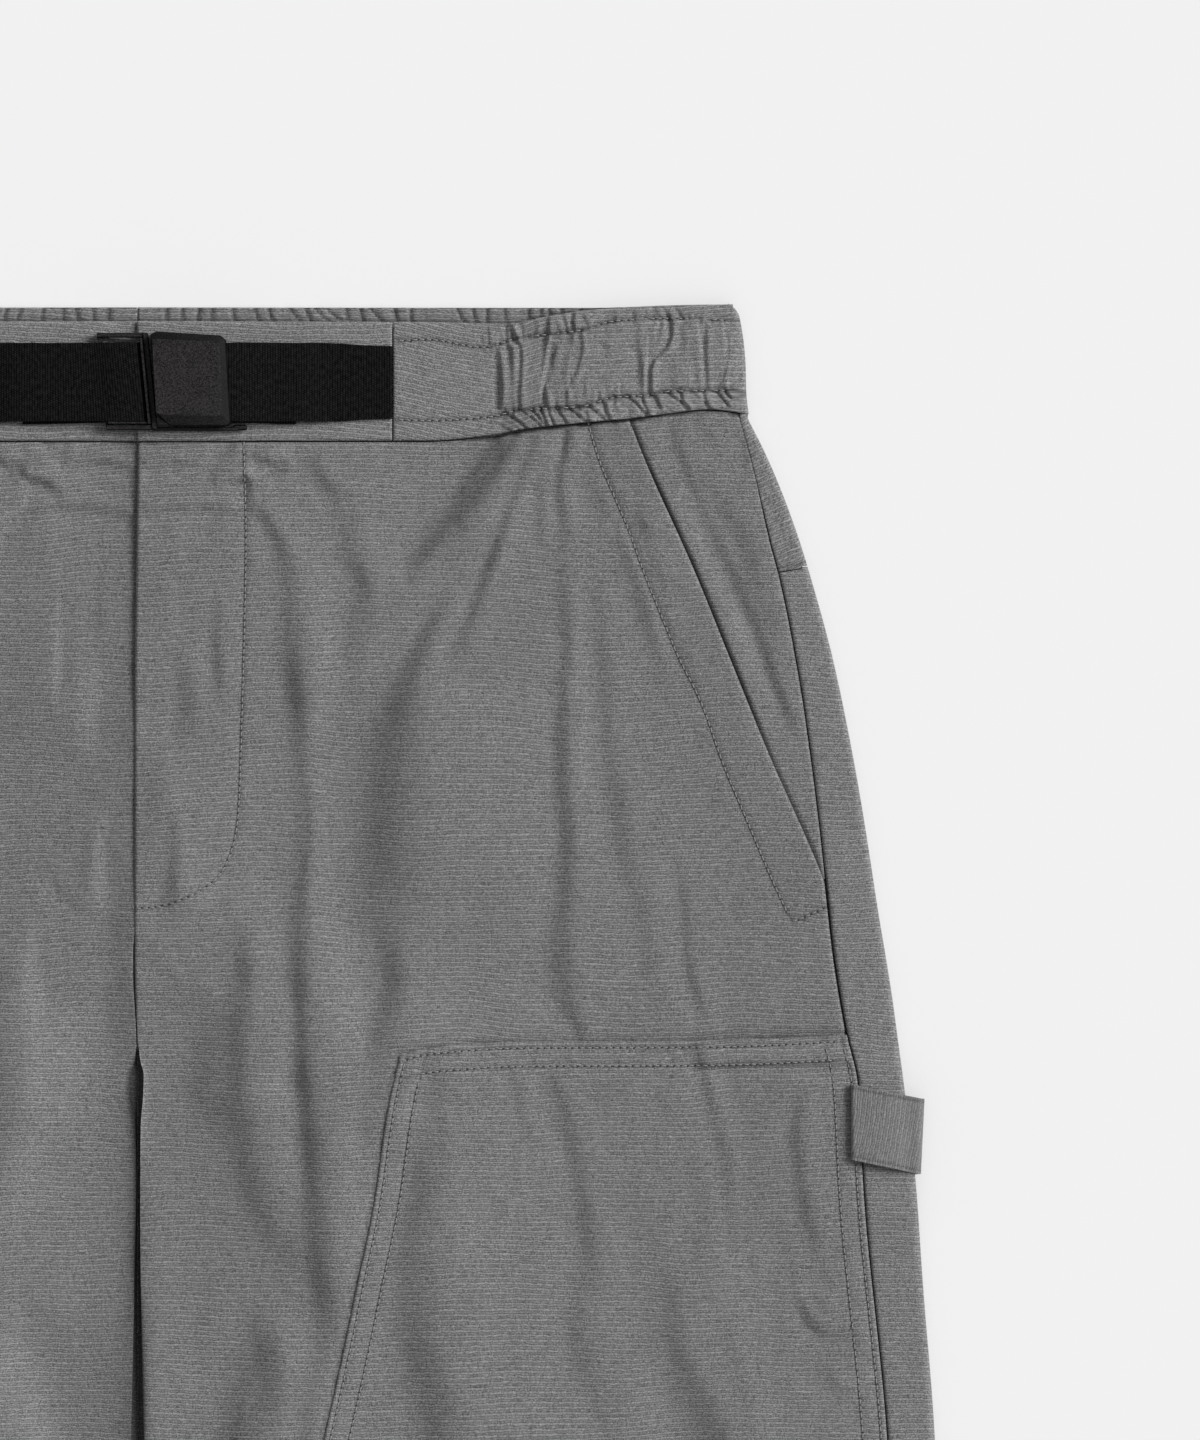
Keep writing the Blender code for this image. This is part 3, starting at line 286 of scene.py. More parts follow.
    Fold(0.81, ((3.9, 80.5, 0.8), (16.2, 78.5, 0.9), (29.6, 78.2, 0.8), (39.3, 80.5, 0.3)), 1.7),
    Fold(0.51, ((4.6, 70.5, 0.5), (12.3, 68.9, 0.5)), 1.7),
    Fold(0.24, ((17.7, 134.8, 3.8, 0.4), (18.5, 148.2, 4.4, 1), (18.9, 159.8, 4.4, 1),
         (17.7, 170.6, 3.8, 0.4))),
    Fold(0.23, ((31.6, 132.8, 0.4), (31.2, 139.8, 0.9), (32.3, 148.2, 0.4)), 2.2),
    Fold(0.49, ((13.9, 196.3, 2.4, 0.4), (14.2, 209.8, 2.4, 0.8), (13.5, 223.3, 2.9, 1),
         (12.3, 231, 2.9, 0.6))),
    Fold(0.22, ((4.6, 175.2, 0.6), (5.4, 190.6, 0.8), (4.6, 209.8, 0.8), (4.6, 225.2, 0.5)), 5.2),
    Fold(-0.14, ((13.9, 104, 0.4), (14.2, 115.5, 1), (14.6, 129, 0.5)), 2.2),
    Fold(0.14, ((29.6, 77, 0.6), (30.8, 86.6, 0.6), (32.3, 98.2, 0.2)), 4.3),
    Fold(-0.29, ((36.2, 211.8, 0.4), (31.6, 222.1, 1), (25.8, 229.1, 0.8), (20, 235.6, 0.3)), 1.7),
    # At the crotch.
    Fold(0.22, ((4.6, 247.6, 0.5), (8.5, 254.1, 0.8), (13.1, 261.8, 0.5)), 3.4),
    # Along the pocket.
    Fold(-0.23, ((197.1, 113.6, 0.5), (201, 127, 1), (205.6, 139.8, 0.9), (210.2, 154, 0.5)), 1.3),
    Fold(-0.17, ((218.7, 160.5, 0.6), (226, 157.8, 1), (232.5, 155.2, 0.6)), 1.3),
    Fold(0.3, ((30.8, 113.6, 0.5), (30.4, 133, 1), (30.8, 152, 0.5)), 2),
    # Dents of the pocket facing.
    Fold(0.4, ((193.3, 78, 0.3), (194.5, 85, 1), (196, 91, 0.3)), 2.6),
    Fold(0.32, ((198.5, 97, 0.3), (200.5, 104, 1), (203, 110, 0.3)), 2.6),
)

HIP_FOLDS = (
    Fold(0.33, ((206.4, 49.3, 1.9, 0.5), (209.1, 57.8, 1.9, 0.9), (212.1, 66.6, 1.9, 0.8),
         (215.6, 75.1, 2.3, 0.7), (219.5, 83.5, 2.3, 0.7), (224.1, 93.6, 2.3, 0.7),
         (228.7, 102.8, 2.3, 0.8), (233.3, 113.6, 2.3, 1), (237.9, 124.4, 2.3, 1), (241.8, 134.8, 2.3, 0.9),
         (245.2, 145.1, 2.3, 1), (249.5, 155.2, 2.3, 1), (252.2, 161.7, 1.9, 0.6))),
    Fold(0.25, ((217.5, 65.5, 3.4, 0.4), (222.5, 73.2, 3.4, 0.8), (227.9, 82, 3.8, 1),
         (233.3, 92.4, 3.8, 1), (236.4, 104, 3.8, 0.8), (238.7, 113.6, 3.4, 0.6),
         (240.6, 121.3, 3.4, 0.3))),
    Fold(0.31, ((220.2, 50.1, 0.8), (222.5, 56.6, 0.6)), 1.7),
    Fold(0.38, ((232.2, 46.2, 1.3, 0.6), (233.7, 53.9, 1.3, 1), (234.8, 63.5, 1.7, 0.6))),
    Fold(0.25, ((243.3, 113.6, 0.5), (244.1, 121.3, 0.8), (245.2, 129, 0.4)), 3.4),
    Fold(-0.19, ((212.5, 82.8, 2.5, 0.4), (218.3, 95.1, 2.5, 0.8), (224.8, 109.7, 2.5, 1),
         (231.8, 125.1, 2.5, 1), (237.5, 138.6, 2.5, 0.8), (242.6, 151.3, 2.1, 0.5))),
)

KNEE_FOLDS = (
    # Inner part.
    Fold(0.41, ((114, 290.7, 5.3, 0.6), (115.1, 300.3, 5.3, 0.9), (114, 309.9, 6.1, 0.4),
         (112.4, 321.5, 7, 0.5), (110.9, 333, 7, 0.9), (109, 348.4, 7.9, 0.95), (107.8, 361.9, 8.8, 0.9),
         (107, 375.4, 8.8, 0.8), (107, 388.9, 9.6, 0.8), (108.6, 402.3, 8.8, 0.9), (111.7, 413.9, 8.8, 0.8),
         (114, 425.4, 10.6, 0.8), (115.5, 435.8, 12.2, 0.9), (117.8, 460.1, 13.2, 0.8),
         (120.1, 490.9, 13.2, 0.4), (122, 529.4, 13.2, 0.2))),
    Fold(0.24, ((116.3, 306.1, 0.4), (117.4, 315.7, 0.9), (119.4, 325.3, 0.8), (120.1, 336.9, 0.4)), 1.7),
    # Middle.
    Fold(0.31, ((144.8, 296.4, 2.2, 0.7), (146.7, 304.2, 1.7, 0.6), (149, 313, 1.7, 0.8),
         (152.1, 322.6, 2.2, 0.6), (154, 329.2, 2.2, 0.2))),
    Fold(0.3, ((159.8, 296.8, 2.5, 0.7), (161.7, 302.2, 2.5, 1), (163.6, 309.2, 2.5, 1),
         (165.6, 316.9, 3.4, 0.6), (167.1, 323.4, 3.4, 0.8), (170.2, 331.1, 3.4, 0.8),
         (170.2, 340.7, 3.4, 0.9), (170.9, 350.4, 3.4, 0.9), (172.5, 361.9, 3.9, 0.7),
         (171.7, 371.5, 4.5, 0.5), (169.4, 383.1, 4.9, 0.55), (168.6, 392.7, 4.5, 0.85),
         (170.2, 402.3, 4.9, 0.8), (173.2, 413.1, 4.9, 0.55), (177.9, 423.5, 4.5, 0.45),
         (183.3, 435.8, 3.9, 0.4), (193.3, 467.8, 4.9, 0.5), (199, 506.3, 6, 0.3))),
    Fold(0.18, ((174, 344.6, 0.4), (175.6, 360, 0.7), (174.8, 379.2, 0.4)), 3.4),
    # Lower part.
    Fold(0.33, ((201.7, 368.4, 3.1, 0.2), (204.1, 377.3, 3.6, 0.4), (205.6, 386.9, 4.2, 0.6),
         (206.4, 396.6, 4.8, 0.6), (209.1, 406.2, 5.5, 0.9), (212.5, 415.8, 6, 1), (216.4, 425.4, 6.6, 1),
         (220.6, 435.8, 7.3, 1), (227.9, 456.2, 7.8, 0.8), (233.3, 483.2, 7.8, 0.4))),
    Fold(0.22, ((222.5, 379.2, 0.3), (224.8, 390.8, 0.6), (227.9, 402.3, 0.7), (231, 413.9, 0.8),
         (233.3, 423.5, 0.7), (235.6, 435.8, 0.5)), 3),
    # Below the hip.
    Fold(0.46, ((216, 285.3, 1.5, 0.6), (217.1, 293, 1.7, 1), (219.1, 301.5, 1.7, 1),
         (221.4, 309.9, 1.7, 0.9), (223.7, 318.4, 1.7, 0.7), (226, 327.2, 2, 0.6), (227.2, 336.9, 2, 0.6),
         (227.5, 346.5, 2, 0.5), (228.3, 356.1, 2, 0.4), (229.1, 363.8, 2, 0.2))),
    # By the side seam.
    Fold(0.53, ((257.2, 300.3, 0.2), (254.5, 306.8, 0.6), (252.9, 315.7, 0.8), (253.7, 325.3, 0.7),
         (254.9, 334.9, 0.9), (256.4, 344.6, 0.9), (257.9, 353, 0.7), (259.9, 361.9, 0.4)), 2.2),
    Fold(0.47, ((264.1, 369.6, 1.5, 0.5), (266, 376.1, 1.5, 0.8), (268.3, 380.8, 1.3, 0.4))),
    # Crescent and marks above the leg.
    Fold(1.3, ((253, 381.5, 0.3), (255.7, 386.9, 0.6), (258.8, 391.5, 0.9), (262.6, 394.6, 1),
         (266.8, 395.4, 0.9), (270.7, 394.6, 0.6), (274.5, 393.9, 0.5)), 1.3),
    Fold(0.24, ((235.6, 370, 0.5), (242.6, 371.5, 1), (249.1, 370.8, 0.6), (254.9, 371.5, 0.7)), 1.7),
    Fold(0.47, ((264.9, 412.3, 0.6), (267.6, 414.6, 0.9), (271, 418.5, 0.5)), 2.2),
    Fold(0.14, ((214.8, 321.5, 0.4), (216.4, 336.9, 0.6), (217.9, 356.1, 0.7), (219.5, 375.4, 0.5)), 4.3),
    # Below the top border.
    Fold(0.96, ((214, 292.6, 1.2, 0.5), (220, 292.4, 1.3, 1), (245, 292, 1.3, 1), (273, 291.4, 1.3, 1))),
)

BAND_FOLDS = (
    Fold(0.75, ((132.8, 12.7, 0.8), (133.6, 18.1, 0.6)), 0.6),
    Fold(1.04, ((135.1, 9.6, 0.7), (135.5, 16.6, 0.8)), 0.6),
    Fold(1.35, ((142.1, 7.3, 0.7), (142.5, 11.6, 1), (142.8, 16.2, 0.8)), 0.6),
    Fold(1.65, ((143.2, 7.3, 0.6, 0.6), (144.8, 10.8, 0.8, 1), (146.3, 14.6, 0.8, 1))),
    Fold(1.04, ((147.8, 6.5, 0.5), (148.2, 10.8, 0.8), (148.2, 14.2, 0.8)), 0.6),
    Fold(0.6, ((153.2, 6.5, 0.4), (152.8, 11.6, 0.5)), 0.8),
    Fold(1.49, ((158.2, 4.2, 0.6, 0.5), (158.2, 8.9, 0.7, 1), (157.8, 14.2, 0.6, 1))),
    Fold(0.9, ((160.9, 6.5, 0.6), (162.5, 10.4, 0.7)), 0.6),
    Fold(1.2, ((163.6, 3.5, 0.4), (164.8, 6.5, 0.9), (165.6, 10.4, 0.9)), 0.6),
    Fold(1.49, ((168.2, 2.7, 0.6), (167.5, 6.5, 1), (168.6, 10.4, 1)), 0.6),
    Fold(0.9, ((171.7, 5, 0.6), (173.2, 7.3, 0.7)), 0.6),
    Fold(0.75, ((175.6, 2.7, 0.5, 0.5), (174, 6.5, 0.6, 0.5))),
    Fold(0.75, ((199, 1.2, 0.6), (200.6, 5, 0.6)), 0.5),
    Fold(1.2, ((202.5, 1.2, 0.5, 0.6), (205.2, 5.8, 0.6, 1))),
    Fold(1.04, ((207.1, 0.8, 0.6), (209.1, 3.9, 0.8), (211, 7.3, 0.8)), 0.5),
    Fold(0.6, ((212.5, 0.8, 0.5), (215.2, 4.6, 0.5)), 0.5),
    Fold(0.6, ((216.4, 1.2, 0.5), (218.7, 5, 0.5)), 0.5),
    Fold(0.45, ((221, 1.2, 0.5), (222.9, 5, 0.5)), 0.5),
    Fold(1.6, ((138.8, 18.1, 0.8, 0.4), (139.6, 25, 0.9, 0.8), (140, 32.7, 0.9, 1), (139.6, 39.7, 0.8, 1))),
    Fold(1.49, ((143.6, 16.6, 1), (144, 20.4, 1), (144, 25, 0.6), (144, 30.8, 0.2)), 0.8),
    Fold(1.35, ((147.5, 15.4, 1), (147.8, 21.2, 1), (147.5, 28.9, 0.9), (147.1, 36.6, 1),
         (147.5, 40, 1)), 0.6),
    Fold(0.9, ((157.1, 13.5, 0.8), (156.7, 19.2, 0.8), (155.9, 24.3, 0.5)), 0.6),
    Fold(1.35, ((161.3, 16.6, 0.6, 0.6), (160.2, 20, 0.7, 1), (159.4, 23.5, 0.6, 0.6))),
    Fold(-1.2, ((159, 12.7, 0.8), (157.8, 19.2, 1), (156.7, 26.9, 1), (155.5, 33.5, 1),
         (155.2, 37.3, 0.6)), 0.5),
    Fold(1.49, ((156.7, 31.2, 0.6, 0.5), (157.1, 35.8, 0.8, 1), (157.5, 39.7, 0.8, 1))),
    Fold(1.04, ((171.3, 8.9, 0.9), (171.3, 15.4, 1), (170.2, 21.9, 0.9), (168.2, 28.1, 0.7),
         (165.6, 32.7, 0.8), (165.2, 38.5, 0.9)), 0.6),
    Fold(-0.75, ((169, 10.4, 0.7), (167.9, 17.3, 0.9), (166.3, 24.3, 0.8), (165.6, 30.4, 0.9),
         (167.1, 35.8, 0.8)), 0.6),
    Fold(0.6, ((172.1, 27.3, 0.5), (172.1, 32.7, 0.7), (171.7, 37.3, 0.6)), 0.6),
    Fold(0.45, ((174, 10.4, 0.6), (177.9, 14.2, 0.7), (181.7, 17.3, 0.5)), 0.8),
    Fold(0.6, ((193.3, 7.7, 1, 0.4), (192.5, 13.5, 1, 0.8), (193.3, 21.2, 1, 1), (194, 28.1, 1, 0.8),
         (195.2, 33.5, 0.8, 0.5))),
    Fold(-1.2, ((196.3, 12.7, 0.6), (196, 19.2, 1), (195.6, 26.9, 1), (195.2, 33.5, 0.8)), 0.5),
    Fold(1.65, ((205.6, 5.8, 0.6, 1), (205.6, 10.4, 0.6, 1), (204.4, 15.4, 0.6, 1), (201.7, 18.9, 0.8, 0.8),
         (198.7, 21.9, 0.6, 0.9), (197.5, 26.6, 0.6, 1), (197.5, 33.5, 0.6, 1), (199.4, 35.8, 0.6, 0.8),
         (201.4, 39.7, 0.6, 1))),
    Fold(0.75, ((201.7, 7.3, 0.6), (200.6, 12.7, 0.7), (199.4, 17.3, 0.6)), 0.6),
    Fold(0.45, ((209.8, 8.9, 1, 0.6), (210.2, 14.2, 1.2, 0.9), (209.4, 19.6, 1, 0.4))),
    Fold(-0.75, ((215.2, 6.5, 0.6), (216.4, 15.4, 1), (217.1, 25, 1), (217.5, 32.7, 0.8)), 0.6),
    Fold(0.75, ((218.7, 7.7, 0.8), (218.7, 17.3, 1), (219.1, 25.8, 1), (219.5, 32.7, 0.6)), 0.6),
    Fold(-0.6, ((224.8, 6.5, 0.6), (226.4, 15.4, 0.9), (226.8, 23.1, 0.8)), 0.6),
    Fold(0.68, ((227.5, 13.5, 0.6), (227.2, 20.4, 1), (226, 26.9, 1), (223.7, 32.7, 0.8)), 0.6),
    Fold(0.45, ((230.2, 9.6, 0.5), (230.6, 21.2, 0.7), (230.2, 30.8, 0.5)), 0.8),
)
LEG_FOLDS = (
    Fold(0.3, ((46, 445, 5, 0.8), (40, 520, 7, 0.9), (30, 600, 7, 0.4))),
    Fold(0.28, ((75, 470, 6, 0.2), (90, 520, 7, 1), (112, 560, 7, 0.9), (140, 600, 6, 0.3))),
    Fold(0.22, ((255, 480, 6, 0.2), (248, 560, 7, 1), (236, 620, 7, 0.8), (228, 690, 6, 0.3))),
    Fold(0.3, ((60, 640, 7, 0.2), (92, 700, 9, 1), (110, 780, 9, 0.9), (114, 860, 8, 0.3))),
    Fold(0.26, ((190, 700, 7, 0.2), (200, 780, 9, 1), (196, 870, 9, 1), (204, 970, 8, 0.4))),
    Fold(0.2, ((250, 760, 6, 0.3), (246, 850, 8, 1), (238, 940, 7, 0.4))),
    Fold(0.24, ((70, 860, 6, 0.3), (84, 930, 8, 1), (80, 1005, 7, 0.4))),
    Fold(0.2, ((140, 900, 8, 0.3), (150, 960, 9, 1), (146, 1015, 8, 0.5))),
)

# Under the seat and the thighs.
BACK_FOLDS = (
    Fold(0.2, ((60, 150, 8, 0.3), (78, 190, 9, 1), (84, 240, 9, 0.8), (80, 290, 8, 0.3))),
    Fold(0.18, ((150, 160, 9, 0.3), (158, 220, 10, 1), (150, 300, 10, 0.7), (138, 360, 9, 0.3))),
    Fold(0.24, ((14, 268, 5, 0.4), (34, 286, 6, 1), (62, 300, 6, 0.8), (96, 308, 6, 0.3))),
    Fold(0.22, ((22, 318, 5, 0.4), (50, 346, 6, 1), (84, 362, 6, 0.6))),
    Fold(0.2, ((226, 200, 6, 0.3), (232, 270, 7, 1), (228, 350, 7, 0.4))),
)

# Places of small puckers: in the waistband's lower channel, on its inner face at the back
# and along the knee panel's top. Each row of the back's is its x and lean.
LOWER_PUCKERS = (
    135.2, 138.2, 141.3, 144.4, 147.5, 150.9, 154.4, 157.9, 161.3, 165.2, 169.0, 173.6,
    178.3, 183.3, 188.7, 193.7, 199.0, 204.1, 208.7, 212.9, 217.5, 221.8, 225.6, 229.1,
)
BACK_PUCKERS = (
    (-3.6, 0.2), (11.2, 0.0), (17.2, 0.0), (23.5, -0.1), (28.6, 0.0), (36.6, 0.1), (45.4, 0.2),
    (50.8, 0.2), (59.8, 0.4), (65.3, 0.2), (69.8, 0.6), (74.5, 0.7), (80.5, 0.1), (86.0, 0.1),
    (90.8, 0.6), (99.2, 0.1), (105.1, 0.0), (123.6, 0.3), (129.2, 0.1), (134.5, 0.0),
    (141.3, 0.1), (150.5, 0.0), (155.2, 0.0), (158.4, 0.1), (163.4, 0.2), (170.2, 0.0),
)
TOP_PUCKERS = (
    121.0, 126.3, 130.9, 136.3, 140.5, 146.3, 149.8, 153.6, 157.5, 160.9, 164.8, 171.3,
    177.9, 192.1, 199.0, 204.1, 207.1, 210.2, 213.7,
)

# Outline of the buckle's cover and of its face, as x and drop.
COVER_OUTLINE = (
    (5.4, 12.0), (7.7, 10.8), (32.3, 12.3), (34.3, 13.9),
    (36.2, 46.0), (35.2, 47.0), (13.1, 47.0), (8.5, 43.9),
)
COVER_FACE = (
    (6.0, 14.6), (6.8, 14.0), (31.0, 15.0), (31.8, 15.8),
    (33.0, 42.4), (32.4, 43.1), (8.4, 42.6), (7.5, 41.8),
)
BUCKLE_FLOOR = 5.45
COVER_SHOULDER = 12.8
COVER_TOP = 14.6
LATCH_RIM = 10.3

EDGE = (0.0, 0.08, 0.26, 0.55, 1.0, 1.7)  # offsets of the grid lines along a folded edge
SEWN_EDGE = (0.0, 0.08, 0.26, 0.55, 1.0, 1.8, 2.5, 3.2, 4.6, 6.6, 8.6, 9.5, 10.4, 12.0)
KNEE_ROWS = (2.5, 9.5)  # the knee panel's two rows of stitches, in from its edge
SEAM_SHADE_SPOTS = (146.0, 171.5, 201.7, 219.5, 229.8)  # where the gathers pull the waist seam open, and its painted shade spreads wider
FAR = 99.0  # stands for no seam near


# Numbers.


def smooth(rows, station):
    """The value at a station of a curve through (station, value) rows, with no overshoot."""
    at, value = np.array(rows, float).T
    step = np.diff(at)
    rise = np.diff(value) / step
    slope = np.concatenate([rise[:1], np.zeros(len(at) - 2), rise[-1:]])
    for i in range(1, len(at) - 1):
        if rise[i - 1] * rise[i] > 0:
            slope[i] = 2 / (1 / rise[i - 1] + 1 / rise[i])
    place = np.clip(np.asarray(station, float), at[0], at[-1])
    i = np.clip(np.searchsorted(at, place) - 1, 0, len(step) - 1)
    t = (place - at[i]) / step[i]
    bend = t * (1 - t) ** 2 * slope[i] - t * t * (1 - t) * slope[i + 1]
    return value[i] + (value[i + 1] - value[i]) * t * t * (3 - 2 * t) + bend * step[i]


def ramp(low, high, value):
    """0 below low, 1 above high, and a soft rise between them."""
    t = np.clip((np.asarray(value, float) - low) / (high - low), 0, 1)
    return t * t * (3 - 2 * t)


def fade(low, high, value):
    """1 below low, 0 above high, and a soft fall between them."""
    return 1 - ramp(low, high, value)


def bell(value, width):
    """1 at zero, fading to nothing over about twice the width."""
    return np.exp(-((np.asarray(value, float) / width) ** 2))


def noise(x, y, seed):
    """Soft uneven values from -1 to 1 over a plane, the same on each run."""
    x, y = np.broadcast_arrays(np.asarray(x, float), np.asarray(y, float))
    cell_x, cell_y = np.floor(x), np.floor(y)
    part_x, part_y = ramp(0, 1, x - cell_x), ramp(0, 1, y - cell_y)

    def corner(i, j):
        value = np.sin((cell_x + i) * 127.1 + (cell_y + j) * 311.7 + seed * 74.7) * 43758.5453
        return (value - np.floor(value)) * 2 - 1

    low = corner(0, 0) * (1 - part_x) + corner(1, 0) * part_x
    high = corner(0, 1) * (1 - part_x) + corner(1, 1) * part_x
    return low * (1 - part_y) + high * part_y


def nearest_on(x, drop, line):
    """Signed distance from a line of (x, drop) points, whose ends run straight on."""
    line = np.array(line, float)
    best = signed = np.full(np.shape(x), np.inf)
    for i, (start, end) in enumerate(zip(line, line[1:])):
        length = np.hypot(*(end - start))
        run = (end - start) / length
        along = (x - start[0]) * run[0] + (drop - start[1]) * run[1]
        along = np.clip(along, 0 if i else -np.inf, length if i < len(line) - 2 else np.inf)
        off_x = x - start[0] - run[0] * along
        off_drop = drop - start[1] - run[1] * along
        distance = np.hypot(off_x, off_drop)
        side = np.sign(off_x * run[1] - off_drop * run[0])
        signed = np.where(distance < best, distance * side, signed)
        best = np.minimum(best, distance)
    return signed


def rounded(points, times=3):
    """The line through points with its corners cut, ends kept."""
    line = np.array(points, float)
    for _ in range(times):
        near = line[:-1] * 0.75 + line[1:] * 0.25
        far = line[:-1] * 0.25 + line[1:] * 0.75
        cut = np.stack([near, far], axis=1).reshape(-1, line.shape[1])
        line = np.concatenate([line[:1], cut[1:-1], line[-1:]])
    return line


def folds_height(x, drop, folds):
    """What folds add to a surface's height."""
    x, drop = np.broadcast_arrays(np.asarray(x, float), np.asarray(drop, float))
    total = np.zeros(x.shape)
    for slope, rows, width in folds:
        at_x, at_drop, *widths, share = np.array(rows, float).T
        widths = widths[0] if widths else np.full(len(share), float(width))
        across = at_x[-1] - at_x[0] > abs(at_drop[-1] - at_drop[0])
        along, off = (x, drop) if across else (drop, x)
        start, middle = (at_x, at_drop) if across else (at_drop, at_x)
        reach = 2 * widths.max()
        near = (along > start[0] - reach) & (along < start[-1] + reach)
        along, off = along[near], off[near]
        path = np.stack([start, middle], axis=1)
        lean = smooth(path, along + 0.5) - smooth(path, along - 0.5)
        wide = np.interp(along, start, widths)
        beyond = np.clip(np.maximum(start[0] - along, along - start[-1]), 0, None)
        t = (off - smooth(path, along)) / np.hypot(1, lean) / wide * (-1 if across else 1)
        soft = t / (1 + t**4) ** 0.25 * np.exp(-((t / 3.2) ** 2) - (beyond / wide) ** 2)
        total[near] += slope * wide * np.interp(along, start, share) * soft
    return total


# Seam lines worked out once.
FLY_STITCH_LINE = rounded(FLY_STITCH)
POCKET_STITCH_LINES = rounded(POCKET_STITCH[:POCKET_CORNER]), rounded(POCKET_STITCH[POCKET_CORNER:], 1)
POCKET_STITCH_LINE = np.concatenate(POCKET_STITCH_LINES)
KNEE_EDGE_LINE = [(float(smooth(KNEE_EDGE, drop)), drop) for drop in range(286, 731, 12)]


# Heights of the garment's layers.


def loop_lift(x, drop, side):
    """What the hammer loop's rear layer raises, on the wearer's left leg only."""
    if side < 0:
        return np.zeros(np.broadcast(x, drop).shape)
    return LOOP_LIFT * ramp(280, 302, drop) * fade(344, 366, drop) * ramp(224, 256, x)


def side_top(drop):
    return SIDE_TOP + (SIDE_TOP_KNEE - SIDE_TOP) * ramp(245, 300, drop)


def side_roll(x, drop):
    """How far a layer has turned down at x, beyond the start of the side fold."""
    radius = side_top(drop) / 2
    beyond = np.clip(x - (smooth(OUTER_EDGE, drop) - radius), 0, radius * 0.98)
    return radius - np.sqrt(radius**2 - beyond**2)


def crumple(x, drop, seed):
    """The uneven lie of worn cloth."""
    broad = noise(x / 27, drop / 48, seed) + 0.5 * noise(x / 12, drop / 23, seed + 1)
    fine = noise(x / 6.5, drop / 12, seed + 2) + 0.6 * noise(x / 3.4, drop / 6.5, seed + 3)
    return 0.26 * broad + 0.1 * fine


def front_form(x, drop, side):
    """Height of the front with its folds."""
    raised = folds_height(x, drop, FRONT_FOLDS + KNEE_FOLDS + LEG_FOLDS) + crumple(x, drop, 11 + side)
    raised = raised + 1.3 * bell(np.hypot(x - 265, drop - 383), 3.6)
    most = np.where(raised > 0, MOST_RAISED, MOST_SUNK)
    to_pocket = smooth(POCKET_EDGE, drop) - x
    z = BASE + most * np.tanh(raised / most) + POCKET_RISE * fade(2, 34, to_pocket) * fade(224, 250, drop)
    if side < 0:
        deep = (1 - 0.45 * ramp(140, 170, drop)) * fade(FLY_END, FLY_END + 40, drop)
        z = z - FLY_DIP * fade(1, 13, x) * deep
    return z + loop_lift(x, drop, side)


def front_surface(x, drop, side):
    """Height of the front where nothing covers it, with its sewn lines."""
    z = front_form(x, drop, side)
    from_waist = drop - smooth(WAIST_SEAM, x)
    gathered = ramp(FLAT_END - 12, FLAT_END + 6, x)
    ripple = noise(x / 3.2, drop / 26, 5) * (0.15 + 0.3 * gathered)
    z = z + ripple * fade(2, 22, from_waist) - (1.4 + gathered) * fade(0, 3.4, from_waist)
    if side > 0:
        fly = nearest_on(x, drop, FLY_STITCH_LINE)
        z = z + 0.2 * ramp(-1.5, 1.5, fly) - 0.35 * bell(fly, 1.1)
    pocket = nearest_on(x, drop, POCKET_STITCH_LINE)
    z = z + 0.2 * ramp(-1.5, 1.5, -pocket) * fade(228, 238, drop)
    z = z - 0.5 * (1 - 0.5 * ramp(120, 160, drop)) * bell(pocket, 1.2)
    near_top = ramp(96, 110, x) * (0.35 + 0.65 * ramp(150, 230, x))
    z = z - 1.3 * bell(smooth(KNEE_TOP, x) - drop, 1.9) * near_top
    return z - 0.12 * bell(smooth(KNEE_EDGE, drop) - x, 2.6) * ramp(284, 300, drop)


def under_knee(x, drop):
    """1 well inside the knee panel's outline, and 0 at its edges and outside it."""
    inside = [drop - smooth(KNEE_TOP, x), x - smooth(KNEE_EDGE, drop),
              smooth(SIDE_SEAM, drop) - x, KNEE_BOTTOM - drop]
    return ramp(2, 18, np.minimum.reduce(inside))


def knee_distances(x, drop):
    """Distances in from the knee panel's slanted edge, its top and its side."""
    outer = smooth(SIDE_SEAM, drop) - SEAM_GAP / 2 - x
    return nearest_on(x, drop, KNEE_EDGE_LINE), drop - smooth(KNEE_TOP, x), outer


def knee_surface(x, drop, side):
    """Height of the knee panel, with its folded edges and rows of stitches."""
    z = front_form(x, drop, side) + KNEE_LIFT
    loose = 1.7 * crumple(x, drop, 23 + side) + 0.65 * (1 + noise(x / 36, drop / 62, 27))
    z = z + loose * under_knee(x, drop)
    slant, top, outer = knee_distances(x, drop)
    edges = (slant, top, outer, KNEE_BOTTOM - drop)
    welt = 0.45 + 0.35 * ramp(210, 218, x) * fade(10, 14, top)
    z = z + welt * fade(9.6, 12, np.minimum.reduce(edges))
    for distance in edges:
        for row in KNEE_ROWS:
            z = z - 0.3 * bell(distance - row, 0.85)
    puckers = noise(drop / 3.1, x / 20, 3) * fade(3, 12, slant)
    z = z + 0.22 * (puckers + noise(drop / 3.6, x / 20, 6) * fade(3, 12, outer))
    on_top = ramp(1.0, 3.0, top) * fade(8.5, 12, top)
    for place in TOP_PUCKERS:
        z = z - 0.55 * on_top * bell(x - place - 0.3 * math.sin(place) * (top - 6) / 4, 0.75)
    return z


def band_height(x, side):
    """Mean top of the waistband's front."""
    z = BAND_TOP + (BAND_GATHERED - BAND_TOP) * ramp(FLAT_END - 8, FLAT_END + 12, x)
    z = z - (BAND_GATHERED - BAND_SIDE) * ramp(212, 230, x)
    return z - (BAND_WALL + 0.3) * fade(4, 16, x) if side < 0 else z


